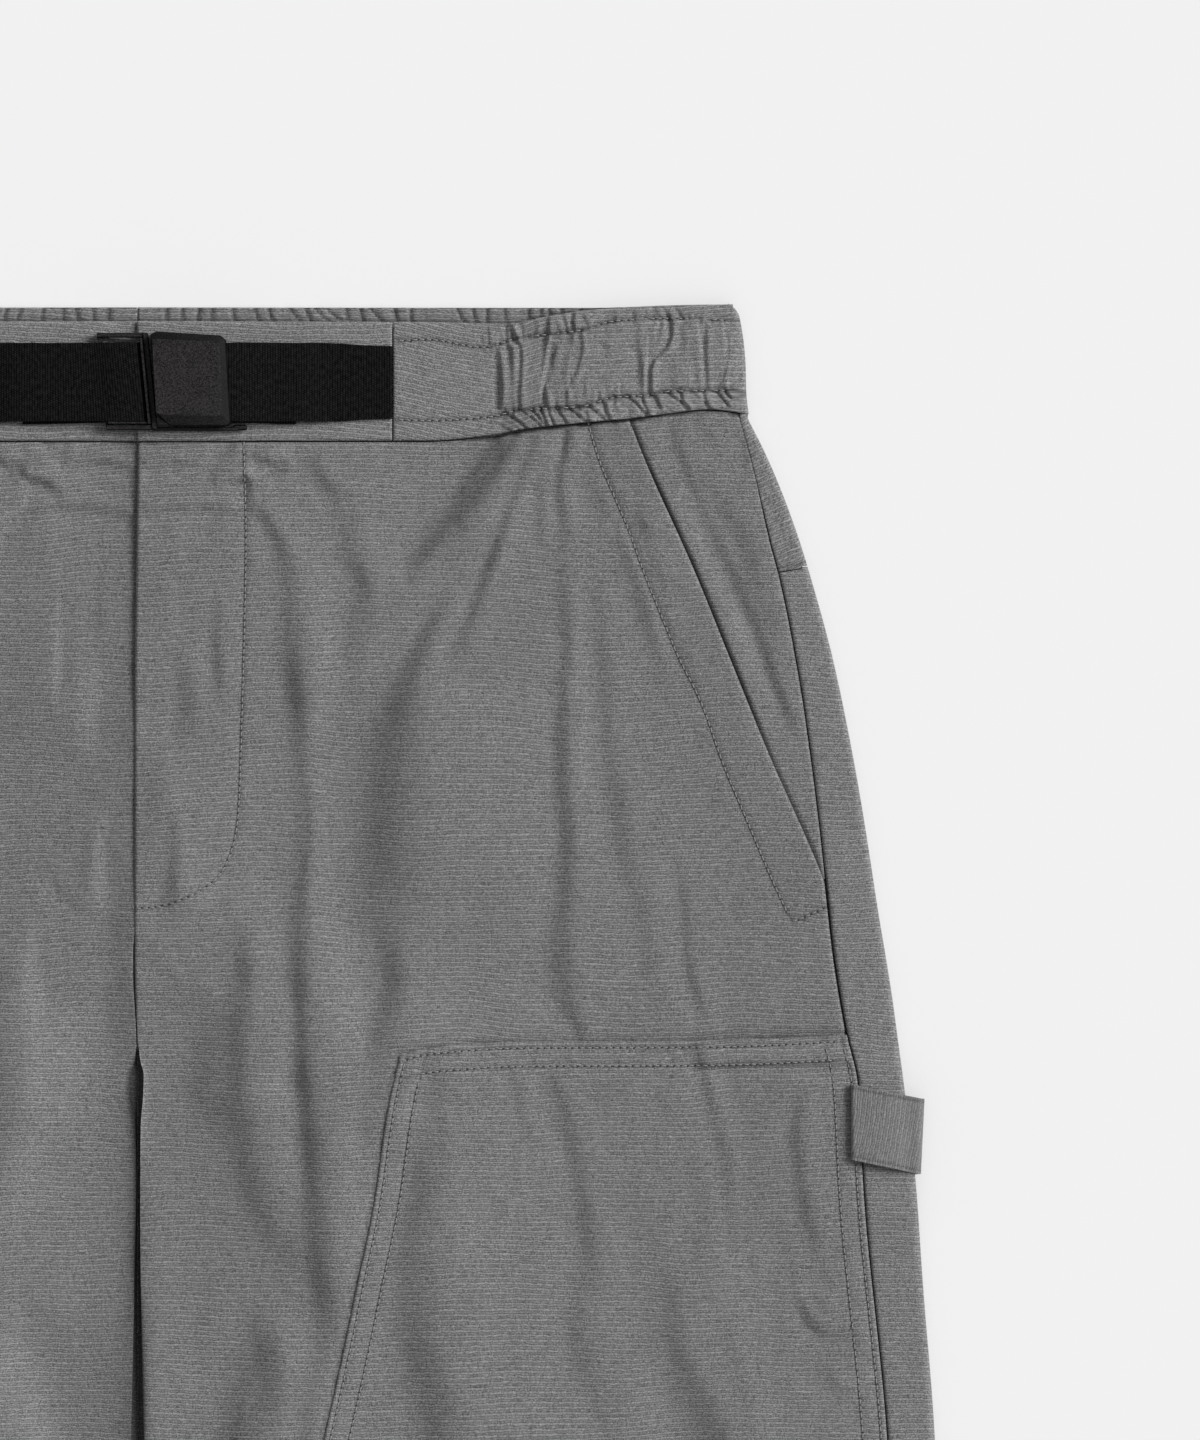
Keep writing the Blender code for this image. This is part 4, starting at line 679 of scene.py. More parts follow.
def band_surface(x, drop, side):
    """Height of the waistband's front, with its gathers and its two sewn channels."""
    from_upper, from_lower = drop - smooth(UPPER_ROW, x), drop - smooth(LOWER_ROW, x)
    gathered = ramp(FLAT_END - 4, FLAT_END + 5, x)
    sewn = ramp(BAND_SPLIT, BAND_SPLIT + 1, x)
    z = band_height(x, side) + folds_height(x, drop, BAND_FOLDS)
    in_lower = ramp(-1.5, 1.0, from_lower)
    in_main = ramp(-1.5, 1.5, from_upper) - in_lower
    for place in LOWER_PUCKERS:
        uneven = 0.6 + 0.5 * math.sin(place * 5.3)
        off = x - place - (0.7 + 0.45 * math.sin(place * 2.1)) * from_lower
        off = off + 0.9 * noise(place, drop / 3.2, 9)
        swell = 0.7 * bell(off - 1.5, 1.1) - 0.95 * bell(off, 0.62 + 0.2 * math.sin(place * 3.7))
        z = z + in_lower * gathered * uneven * swell
    fine = noise(x / 1.5, drop / 6, 17) * (bell(from_upper, 4) + bell(from_lower, 4))
    z = z + gathered * ((0.62 - 0.25 * ramp(172, 190, x)) * fine + 0.26 * noise(x / 3.2, drop / 14, 19))
    z = z + 0.35 * gathered * in_main + 0.15 * sewn * in_lower
    groove = bell(from_upper, 0.95) * (1 - 0.6 * ramp(208, 216, x)) + bell(from_lower, 0.95)
    z = z - sewn * (0.35 + 0.55 * gathered) * groove
    return z + 0.08 * noise(x / 12, drop / 9, 21) + (1 - gathered) * 0.06 * noise(x / 4, drop / 12, 2)


# Shader nodes.


class Value:
    """A shader output that takes part in sums and products."""

    def __init__(self, finish, socket):
        self.finish, self.socket = finish, socket

    def __add__(self, other):
        return self.finish.math("ADD", self, other)

    def __mul__(self, other):
        return self.finish.math("MULTIPLY", self, other)

    def __sub__(self, other):
        return self.finish.math("SUBTRACT", self, other)

    def __rsub__(self, other):
        return self.finish.math("SUBTRACT", other, self)

    def __truediv__(self, other):
        return self.finish.math("DIVIDE", self, other)


class Finish:
    """A material whose nodes are added by short calls, each giving a Value."""

    def __init__(self, name, roughness, specular):
        self.material = bpy.data.materials.new(name)
        self.material.use_nodes = True
        self.tree = self.material.node_tree
        self.surface = self.tree.nodes["Principled BSDF"]
        self.surface.inputs["Roughness"].default_value = roughness
        self.surface.inputs["Specular IOR Level"].default_value = specular

    def node(self, kind, inputs=(), **settings):
        """A new node with its settings, and its inputs given as pairs of socket and value."""
        node = self.tree.nodes.new("ShaderNode" + kind)
        for name, value in settings.items():
            setattr(node, name, value)
        for name, value in inputs:
            if isinstance(value, Value):
                self.tree.links.new(value.socket, node.inputs[name])
            else:
                node.inputs[name].default_value = value
        return node

    def math(self, operation, *values):
        return Value(self, self.node("Math", enumerate(values), operation=operation).outputs[0])

    def sine(self, value):
        return self.math("SINE", value)

    def split(self, socket):
        parts = self.node("SeparateXYZ", [(0, Value(self, socket))]).outputs
        return [Value(self, part) for part in parts]

    def attribute(self, name):
        return self.split(self.node("Attribute", attribute_name=name).outputs["Vector"])

    def noise(self, x, y, z=0.0, detail=1.0, roughness=0.5):
        """Noise about zero, from -0.5 to 0.5."""
        place = Value(self, self.node("CombineXYZ", enumerate((x, y, z))).outputs[0])
        inputs = (("Vector", place), ("Scale", 1.0), ("Detail", detail), ("Roughness", roughness))
        return Value(self, self.node("TexNoise", inputs).outputs[0]) - 0.5

    def bells(self, distances, width):
        """1 where any of the distances is zero, fading over the width."""
        highest = None
        for distance in distances:
            over = distance / width
            line = self.math("EXPONENT", over * over * -1.0)
            highest = line if highest is None else self.math("MAXIMUM", highest, line)
        return highest

    def color(self, base, tone):
        """The base colour times a tone that varies."""
        node = self.node("VectorMath", ((0, base), ("Scale", tone)), operation="SCALE")
        self.tree.links.new(node.outputs[0], self.surface.inputs["Base Color"])

    def bump(self, height, strength):
        """Relief from a height in millimetres."""
        node = self.node("Bump", (("Strength", strength), ("Distance", MM), ("Height", height)))
        self.tree.links.new(node.outputs[0], self.surface.inputs["Normal"])


CLOTH_COLOR = (0.1705, 0.171, 0.1705)
WEBBING_COLOR = (0.0064, 0.0064, 0.0066)
BUCKLE_COLOR = (0.0215, 0.0198, 0.0206)
THREAD_COLOR = (0.245, 0.247, 0.244)
# Needle holes are dark patches: painted shade in the holes.
HOLE_SHADE_COLOR = (0.022, 0.022, 0.022)
FLOOR_COLOR = (0.88, 0.88, 0.88, 1)
ROW_WIDTH, PULL_WIDTH = 0.6, 2.6  # how far a row of stitches darkens the cloth with painted shade, and how far it pulls it
GRAIN, WEAR = 2100.0, 160.0  # of the buckle, per metre
TWIST = 9000.0  # of the thread, per metre


def cloth_finish(name, rows=(), tone=1.0, contrast=1.0, sewn_shade=0.42):
    """Slub weave: ribs across the leg, each yarn uneven along its length, and sewn lines darkened with
    painted shade.

    rows lists, for each of the seam distances, where its rows of stitches lie. tone makes this copy of the
    one cloth lighter or darker: painted light and shade.
    """
    finish = Finish(name, 0.92, 0.25)
    noise, sine = finish.noise, finish.sine
    # The weave attribute's third part is painted shade, in seams, creases, crevices and gaps.
    across, down, painted_shade = finish.attribute("weave")
    wander = noise(across * 0.022, down * 0.03) * 2.4
    jitter = noise(across * 0.32, down * 0.4, 8.0) * 1.1
    place = (down + wander + jitter) / YARN
    step = finish.math("FLOOR", place) * 7.31
    rib = sine(finish.math("FRACT", place) * math.pi)
    pair = sine(place * math.pi)
    slub = noise(across * 0.2, step, 3.0, detail=2.0, roughness=0.7)
    knot = noise(across * 1.3, step, 9.0)
    grain = noise(across * 2.4, down * 2.4, 5.0)
    mottle = noise(across * 0.035, down * 0.024, 1.0, detail=3.0)
    tones = slub * 0.75 + knot * 1.45 + (rib - 0.64) * 0.45 + grain * 2.7 + mottle * 0.16 + pair * 0.17
    # Painted shade darkens the cloth's colour.
    tones = finish.math("MAXIMUM", tones * contrast + 1.0, 0.3) * (1.0 - painted_shade)
    height = rib * ((slub + 0.3) * 0.3 + 0.07) + grain * 0.05
    seams = finish.attribute("seams")
    offsets = [distance - row for distance, places in zip(seams, rows) for row in places]
    if offsets:
        sewn, pull = finish.bells(offsets, ROW_WIDTH), finish.bells(offsets, PULL_WIDTH)
        dots = noise(across * 0.75, down * 0.75, 7.0) * 0.9 + 0.7
        # Painted shade in the sunken rows of stitches, uneven from stitch to stitch.
        tones = tones * (1.0 - sewn * dots * sewn_shade)
        height = height - sewn * 0.12 + pull * noise(across * 0.42, down * 0.42, 2.0) * 0.55
    # The tone is painted light and shade: each piece's copy of the cloth is made a little lighter or
    # darker.
    finish.color([channel * tone for channel in CLOTH_COLOR], tones)
    finish.surface.inputs["Sheen Weight"].default_value = 0.12
    finish.surface.inputs["Sheen Roughness"].default_value = 0.6
    finish.bump(height, 0.8)
    return finish.material


def webbing_finish():
    finish = Finish("webbing", 0.75, 0.06)
    along, across, _ = finish.attribute("weave")
    place = along / WEBBING_RIB
    rib = finish.sine(finish.math("FRACT", place) * math.pi)
    pick = finish.sine((across / 0.9 + finish.math("FLOOR", place) * 0.5) * (2 * math.pi))
    fuzz = finish.noise(along * 0.8, across * 0.5, detail=3.0)
    tones = rib * 1.2 + pick * 0.5 + fuzz * 4.2 + 0.1
    finish.color(WEBBING_COLOR, finish.math("MAXIMUM", tones, 0.05))
    finish.bump(rib * 0.16 + pick * 0.05, 0.9)
    return finish.material


def buckle_finish():
    """Grained plastic, with painted shade on its steep sides."""
    finish = Finish("buckle", 0.62, 0.1)
    place = finish.node("TexCoord").outputs
    x, y, z = finish.split(place["Object"])
    grain, wear = (finish.noise(x * scale, y * scale, z * scale, detail=2.0) for scale in (GRAIN, WEAR))
    # Painted shade: the steeper a face, the darker its colour.
    upward = finish.math("POWER", finish.math("MAXIMUM", finish.split(place["Normal"])[2], 0.0), 9.0)
    tones = finish.math("MAXIMUM", grain * 5.0 + wear * 0.4 + 1.0, 0.1) * (upward * 0.87 + 0.13)
    finish.color(BUCKLE_COLOR, tones)
    finish.bump(grain * 0.05, 0.8)
    return finish.material


def thread_finish(name, color):
    finish = Finish(name, 0.7, 0.3)
    x, y, z = finish.split(finish.node("TexCoord").outputs["Object"])
    twist = finish.sine((x + y + z * 2.0) * TWIST)
    finish.color(color, twist * 0.18 + 1.0)
    finish.bump(twist * 0.03, 1.0)
    return finish.material


FINISHES = {
    # The cloth finishes are copies of one cloth, and their tones make some a little lighter or darker:
    # painted light and shade.
    "cloth_front": cloth_finish("cloth_front", ((0.0,), (0.0,)), 0.985),
    "cloth_knee": cloth_finish("cloth_knee", (KNEE_ROWS, KNEE_ROWS, KNEE_ROWS), sewn_shade=0.28),
    "cloth_band": cloth_finish("cloth_band", ((0.0,), (0.0,)), 1.1),
    "cloth_back": cloth_finish("cloth_back", ((0.0,),), 1.07),
    "cloth_loop": cloth_finish("cloth_loop", ((0.0,), (0.0,)), 0.99, 0.65),
    "cloth_hip": cloth_finish("cloth_hip"),
    "webbing": webbing_finish(),
    "buckle": buckle_finish(),
    "thread": thread_finish("thread", THREAD_COLOR),
    "needle_hole_shade": thread_finish("needle_hole_shade", HOLE_SHADE_COLOR),
}


# Meshes.


def piece_of(name, mesh, finish, slot, *nodes):
    """An object of the trousers, which rides on the part's one body."""
    mesh.materials.append(FINISHES[finish])
    obj = bpy.data.objects.new(name, mesh)
    bpy.context.scene.collection.objects.link(obj)
    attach(obj, "root")
    if nodes:
        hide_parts(*nodes)
    return obj


def metres(x, drop, z):
    return np.stack([x * MM, (LENGTH / 2 - drop) * MM, z * MM], axis=-1)


def mesh_of(name, points, quads):
    mesh = bpy.data.meshes.new(name)
    mesh.from_pydata(points.reshape(-1, 3).tolist(), [], quads.reshape(-1, 4).tolist())
    mesh.shade_smooth()
    return mesh


def cloth_piece(node, finish, side, x, drop, z, weave, painted_shade=0.0, seams=()):
    """A sheet over a grid of points, with its own coordinates, its painted shade and seam distances."""
    corner = np.arange(x.size).reshape(x.shape)
    quads = np.stack([corner[:-1, :-1], corner[1:, :-1], corner[1:, 1:], corner[:-1, 1:]], axis=-1)
    mesh = mesh_of(node, metres(side * x, drop, z), quads[..., ::side])
    # The painted shade rides in the weave attribute's third part.
    for label, values in (("weave", (*weave, painted_shade)), ("seams", (*seams, FAR, FAR, FAR)[:3])):
        values = np.stack([np.broadcast_to(value, x.shape) for value in values], axis=-1)
        made = mesh.attributes.new(label, "FLOAT_VECTOR", "POINT")
        made.data.foreach_set("vector", values.astype(np.float32).ravel())
    slot = "webbing" if finish == "webbing" else "cloth"
    return piece_of(node + "_" + slot, mesh, finish, slot, node)


def grid_lines(count, edge=EDGE):
    """Share of the width and offset of each grid line, close together at both edges."""
    inner, edge = np.linspace(0, 1, count)[1:-1], np.array(edge)
    share = np.concatenate([np.zeros(len(edge)), inner, np.ones(len(edge))])
    return share, np.concatenate([edge, edge[-1] * (1 - 2 * inner), -edge[::-1]])


def stations(first, *spans):
    """Drops of grid rows: each span is its end and the step up to it, from the one before."""
    drops = [first]
    for end, step in spans:
        count = max(1, round((end - drops[-1]) / step))
        drops += list(np.linspace(drops[-1], end, count + 1)[1:])
    return np.array(drops)


def shares(start, low, count):
    """Places from 0 to 1 with the given ones close to both ends and an even run between."""
    return np.concatenate([start, np.linspace(low, 1 - low, count), 1 - np.array(start[::-1])])


def seam_edge(distance, drop):
    """How far an edge in the side seam has turned down, less where the waistband holds it."""
    return 1.2 * edge_drop(distance, 1.3) * (0.25 + 0.75 * ramp(72, 118, drop))


def edge_drop(distance, radius):
    """How far a rounded edge has turned down at a distance from its end, 1 at the most."""
    turn = 1 - np.clip(distance / radius, 0, 1)
    return 1 - np.sqrt(np.clip(1 - turn**2, 0, 1))


def along_of(*coordinates):
    """Length along a line of points up to each of them."""
    return np.concatenate([[0], np.cumsum(np.hypot(*(np.diff(part) for part in coordinates)))])


def weave_of(x, drop, seed, tilt=0.0):
    """The cloth's own coordinates: across and down, a little warped, as worn cloth is."""
    warp = 2.2 * noise(x / 60, drop / 75, seed) + 0.7 * noise(x / 21, drop / 34, seed + 1)
    a, b = x + 1.2 * noise(x / 50, drop / 40, seed + 2), drop + warp
    cos, sin = np.cos(np.radians(tilt)), np.sin(np.radians(tilt))
    return a * cos + b * sin + 61 * seed, b * cos + (a - 120) * sin + 37.3 * seed


def painted_seam_shade(x, from_waist):
    """Painted shade in the waist seam, more of it where the waistband is gathered."""
    deep = 0.7 + 0.5 * noise(x / 1.7, 0, 91) + sum(0.9 * bell(x - place, 1.3) for place in SEAM_SHADE_SPOTS)
    dark = 0.85 * fade(0.2, 1.6, from_waist / np.maximum(deep, 0.25)) + 0.09 * fade(2, 38, from_waist)
    return dark * ramp(FLAT_END - 18, FLAT_END + 4, x) * (1 - 0.6 * ramp(190, 204, x))


def hung(nominal, count, edges, level):
    """x and drop of a grid that hangs from the waist seam, its rows level at and below a drop."""
    share, offset = grid_lines(count)
    nominal = nominal[:, None]
    drop = np.repeat(nominal, len(share), axis=1)
    for _ in range(2):
        low, high = edges(drop)
        x = low + (high - low) * share + offset
        to_seam = smooth(WAIST_SEAM, x) + WAIST_GAP - nominal[0]
        drop = nominal + to_seam * fade(nominal[0], level, nominal)
    return x, drop


# Front panels.


def side_opening(drop):
    """How far the front's side edge stands back where the seam lies open."""
    return 0.2 + 0.4 * ramp(150, 215, drop) * fade(300, 304, drop) + 0.5 * bell(drop - 292, 8)


def front_edges(drop, side):
    """x of the front's inner edge and of its side edge."""
    seam = smooth(SIDE_SEAM, drop) - side_opening(drop)
    outer = np.minimum(np.where(drop < POCKET_END, smooth(POCKET_EDGE, drop), seam), seam)
    inner = smooth(INNER_EDGE, drop)
    if side > 0:
        return np.where(drop < CROTCH, smooth(FLY_EDGE, drop), inner), outer
    under = -FLY_OVERLAP + (FLY_OVERLAP + 1.7) * ramp(FLY_END, FLY_END + 34, drop)
    under = under - 1.2 * ramp(258, CROTCH, drop)
    return np.where(drop < CROTCH, under, inner - 0.6 * bell(drop - 335, 26)), outer


def front_panel(word, side):
    nominal = stations(52, (54, 0.4), (66, 1.0), (292, 1.7), (450, 3.0), (745, 5.0),
                       (LENGTH - 30, 4.0), (LENGTH - 2, 2.5), (LENGTH, 0.6))
    x, drop = hung(nominal, 190, lambda drop: front_edges(drop, side), 100)
    low, high = front_edges(drop, side)
    z = front_surface(x, drop, side) - KNEE_PRESS * under_knee(x, drop)
    turn = np.clip((x - low) / ROLL, 0, 1)
    rolled = INSEAM_FRONT + (z - INSEAM_FRONT) * np.sqrt(1 - (1 - turn) ** 2)
    z = z + (rolled - z) * ramp(CROTCH - 2, CROTCH + 14, drop)
    z = z - edge_drop(x - low, 1.2) * (1.7 if side > 0 else 0.6) * fade(CROTCH - 30, CROTCH, drop)
    z = z - edge_drop(high - x, 1.4) * (1.2 + 0.5 * fade(POCKET_END - 6, POCKET_END + 4, drop))
    z = z - 1.4 * edge_drop(LENGTH - drop, 1.6)
    z = z + HEM_RISE * ramp(LENGTH - 25, LENGTH - 22, drop) - 0.25 * bell(drop - LENGTH + HEM_STITCH, 1.2)
    fly = nearest_on(x, drop, FLY_STITCH_LINE) if side > 0 else FAR
    pocket = nearest_on(x, drop, POCKET_STITCH_LINE)
    beside_knee = (smooth(KNEE_EDGE, drop) - x) / np.hypot(1, 0.25)
    dark, reach, start, full = (0.45, 2.4, 316, 345) if side > 0 else (0.55, 4.3, 296, 306)
    # Painted shade: in the waist seam and the pocket's stitched groove, shadows outside the knee panel's
    # slanted edge and above its top, where the inner leg edges roll down into the gap, and under the fly's
    # overlap on the right front.
    painted_shades = [
        painted_seam_shade(x, drop - smooth(WAIST_SEAM, x) - WAIST_GAP),
        0.16 * bell(pocket, 1.3) * (drop < 238),
        0.5 * bell(beside_knee, 0.9) * ramp(284, 290, drop),
        0.42 * bell(smooth(KNEE_TOP, x) - drop, 0.8) * ramp(100, 104, x),
        dark * np.exp(-(x - low) / reach) * ramp(start, full, drop),
        0.27 * (side < 0) * fade(6, 17, x) * fade(CROTCH - 10, CROTCH + 25, drop),
    ]
    return cloth_piece("front_" + word, "cloth_front", side, x, drop, z, weave_of(x, drop, 1 + side),
                       np.maximum.reduce(painted_shades), (fly, pocket))


def hip_panel(word, side):
    def edges(drop):
        high = smooth(SIDE_SEAM, drop) - SEAM_GAP / 2 + 0.35 * fade(60, 84, drop)
        return smooth(POCKET_EDGE, drop) - HIP_UNDER, high

    x, drop = hung(stations(44, (46, 0.5), (221, 1.7)), 70, edges, 84)
    opening = x - smooth(POCKET_EDGE, drop)
    from_waist = drop - smooth(WAIST_SEAM, x)
    under = ramp(-2, 20, -opening)
    loose = folds_height(x, drop, HIP_FOLDS) + crumple(x, drop, 41)
    loose = loose - (1 + 0.8 * ramp(56, 74, drop) * fade(140, 180, drop)) * fade(-0.6, 2.3, opening)
    loose = loose + 0.3 * noise(x / 3.1, drop / 30, 8) * fade(2, 30, from_waist)
    z = HIP_TOP - HIP_DIP * under - side_roll(x, drop) + loose * (1 - under)
    from_side = smooth(SIDE_SEAM, drop) - SEAM_GAP / 2 - x
    z = z - seam_edge(from_side, drop) - fade(0, 2.6, from_waist)
    # Painted shade in the waist seam and in the pocket opening, where the hip panel sinks under the front's
    # edge.
    deep = 1.1 + 0.5 * fade(48, 120, drop)
    opening_shade = 0.74 * fade(0.1, 1, opening / deep) * (1 - 0.5 * ramp(150, 175, drop))
    painted_shade = np.maximum(painted_seam_shade(x, from_waist - WAIST_GAP), opening_shade)
    return cloth_piece("hip_" + word, "cloth_hip", side, x, drop, z, weave_of(x, drop, 4), painted_shade)


# Back panels and yokes, round the side fold.


def wrapped(share, drop, side):
    """x, z and the length along the cloth for shares round a back panel's section.

    Shares from 0 to 1 run from the side seam round to the underside, and those from 1
    to 2 on to the inner edge.
    """
    seam = smooth(SIDE_SEAM, drop) + SEAM_GAP / 2
    top = side_top(drop)
    radius = top / 2
    centre = smooth(OUTER_EDGE, drop) - radius
    start = np.arccos(np.clip((seam - centre) / radius, 0, 1))
    straight = np.maximum(centre - seam, 0)
    whole = straight + radius * (start + math.pi / 2)
    along = np.clip(share, 0, 1) * whole - straight
    angle = start - np.maximum(along, 0) / radius
    inner = np.where(drop > CROTCH, smooth(BACK_INNER_EDGE, drop), SEAM_GAP / 2)
    flat = np.clip(share - 1, 0, 1)
    x = np.where(along < 0, centre + along, centre + radius * np.cos(angle))
    z = np.where(along < 0, top, radius + radius * np.sin(angle))
    x = np.where(share > 1, centre + (inner - centre) * flat, x)
    z = np.where(share > 1, 0.0, z) + loop_lift(x, drop, side)
    return x, z, seam + np.clip(share, 0, 1) * whole + flat * (centre - inner), along > 0


def yoke_seam(x, beneath):
    """Drop of the seam between yoke and back panel, on the underside and on the strip."""
    return np.where(beneath, smooth(YOKE_SEAM, x), YOKE_AT_SIDE + (YOKE_SEAM_X - x) * YOKE_SLOPE)


WRAP_SHARES = np.concatenate([
    (0, 0.012, 0.035, 0.08), np.linspace(0.14, 1, 20), 1 + np.linspace(0, 1, 44)[1:] ** 1.3])


def strip_detail(x, z, drop):
    """Sewn edge and uneven lie of the strip beside the side seam."""
    from_seam = x - smooth(SIDE_SEAM, drop) - SEAM_GAP / 2
    uneven = 0.12 * noise(x / 6, drop / 26, 31) + 0.05 * noise(x / 3, drop / 7, 32)
    z = z - seam_edge(from_seam, drop) * (WRAP_SHARES < 0.5)
    return z + uneven * fade(0.6, 0.95, WRAP_SHARES)


def back_panel(word, side):
    nominal = stations(103, (105, 0.5), (118, 1.5), (460, 3.2), (LENGTH - 30, 7.0),
                       (LENGTH - 2, 3.5), (LENGTH, 0.6))[:, None]
    drop = np.repeat(nominal, len(WRAP_SHARES), axis=1)
    for _ in range(3):
        x, _, _, beneath = wrapped(WRAP_SHARES, drop, side)
        to_seam = yoke_seam(x, beneath) + SEAM_GAP / 2 - nominal[0]
        drop = nominal + to_seam * fade(103, 150, nominal)
    x, z, length, beneath = wrapped(WRAP_SHARES, drop, side)
    z = strip_detail(x, z, drop)
    creases = folds_height(x, drop, LEG_FOLDS + BACK_FOLDS) + crumple(x, drop, 51)
    creases = BACK_CREASE * np.tanh(np.clip(creases, 0, None) / BACK_CREASE)
    z = z + creases * ramp(1.02, 1.12, WRAP_SHARES)
    from_yoke = drop - yoke_seam(x, beneath)
    z = z + np.where(beneath & (z < 1), 1, -1) * 0.5 * fade(0, 1.2, from_yoke)
    # Painted shade on the back's inner edge, where it shows in the gap between the legs.
    gap_shade = 0.85 * fade(3.5, 6.5, x - smooth(INNER_EDGE, drop)) * ramp(CROTCH - 20, CROTCH, drop)
    weave = weave_of(length, drop, 5 + side)
    return cloth_piece("back_" + word, "cloth_back", side, x, drop, z, weave, gap_shade)


def yoke(word, side):
    down = np.concatenate([(0, 0.004, 0.012, 0.03), np.linspace(0.06, 0.93, 26),
                           (0.955, 0.975, 0.99, 0.996, 1)])[:, None]
    waist, seam = np.full(len(WRAP_SHARES), 44.0), YOKE_AT_SIDE
    for _ in range(4):
        drop = waist + (seam - waist) * down
        x, z, length, beneath = wrapped(WRAP_SHARES, drop, side)
        waist = np.where(beneath, smooth(BACK_WAIST_SEAM, x), smooth(WAIST_SEAM, x)) - 0.5
        seam = yoke_seam(x, beneath) - SEAM_GAP / 2
    z = strip_detail(x, z, drop)
    to_seam = yoke_seam(x, beneath) - drop
    on_top = np.where(beneath & (z < 1), 0, 1)
    z = z + on_top * (0.25 * fade(0.5, 4, to_seam) - 0.6 * edge_drop(to_seam - 0.2, 0.9))
    weave = weave_of(length, drop, 8 + side, 24)
    return cloth_piece("yoke_" + word, "cloth_back", side, x, drop, z, weave, 0.0, (to_seam - 1.7,))


# Knee panels.


def knee_panel(word, side):
    share, offset = grid_lines(78, SEWN_EDGE)
    down, below = grid_lines(150, SEWN_EDGE)
    down, below = (down**1.25)[:, None], below[:, None]
    drop = KNEE_LEVEL + (KNEE_BOTTOM - KNEE_LEVEL) * down + below + np.zeros(len(share))
    for _ in range(3):
        low, high = smooth(KNEE_EDGE, drop), smooth(SIDE_SEAM, drop) - SEAM_GAP / 2
        x = low + (high - low) * share + offset
        top = smooth(KNEE_TOP, x)
        drop = top + (KNEE_BOTTOM - top) * down + below
    slant, from_top, outer = knee_distances(x, drop)
    edges = (x - low, from_top, high - x, KNEE_BOTTOM - drop)
    z = knee_surface(x, drop, side) - 1.1 * edge_drop(np.minimum.reduce(edges), 1.1)
    return cloth_piece("knee_" + word, "cloth_knee", side, x, drop, z, weave_of(x, drop, 12 + side),
                       0.0, (slant, from_top, outer))


# Waistband.


def band_flat(word, side):
    low_end, high_end = (0.0 if side > 0 else -FLY_OVERLAP), BAND_SPLIT - SEAM_GAP / 2
    share, offset = grid_lines(70)
    down, below = (part[:, None] for part in grid_lines(34))
    x = low_end + (high_end - low_end) * share + offset + 0 * down
    top, low = smooth(BAND_FRONT_EDGE, x), smooth(WAIST_SEAM, x) - SEAM_GAP / 2
    drop = top + (low - top) * down + below
    z = band_surface(x, drop, side) - 1.3 * edge_drop(np.minimum(drop - top, low - drop), 1.2)
    z = z - 0.9 * np.maximum(edge_drop(x - low_end, 1.2), edge_drop(high_end - x, 0.9))
    return cloth_piece("waistband_front_" + word, "cloth_band", side, x, drop, z,
                       weave_of(x, drop, 15 + side))


def band_gathers(x, drop, v, centre):
    """Share of its wall that the band's inner face keeps between its gathers and puckers."""
    pitch = centre / BACK_GATHERS
    inner = 0.86 + 0.14 * noise(x / (pitch * 0.45), v * 2.0, 52)
    for place, lean in BACK_PUCKERS:
        inner = inner - 0.8 * bell(x - place - 1.6 * lean * (drop - 3), 0.65)
    for place in np.arange(176, centre, pitch * 0.7):
        inner = inner - 0.4 * bell(x - place - 0.8 * math.sin(place * 3.1), 0.7)
    return inner


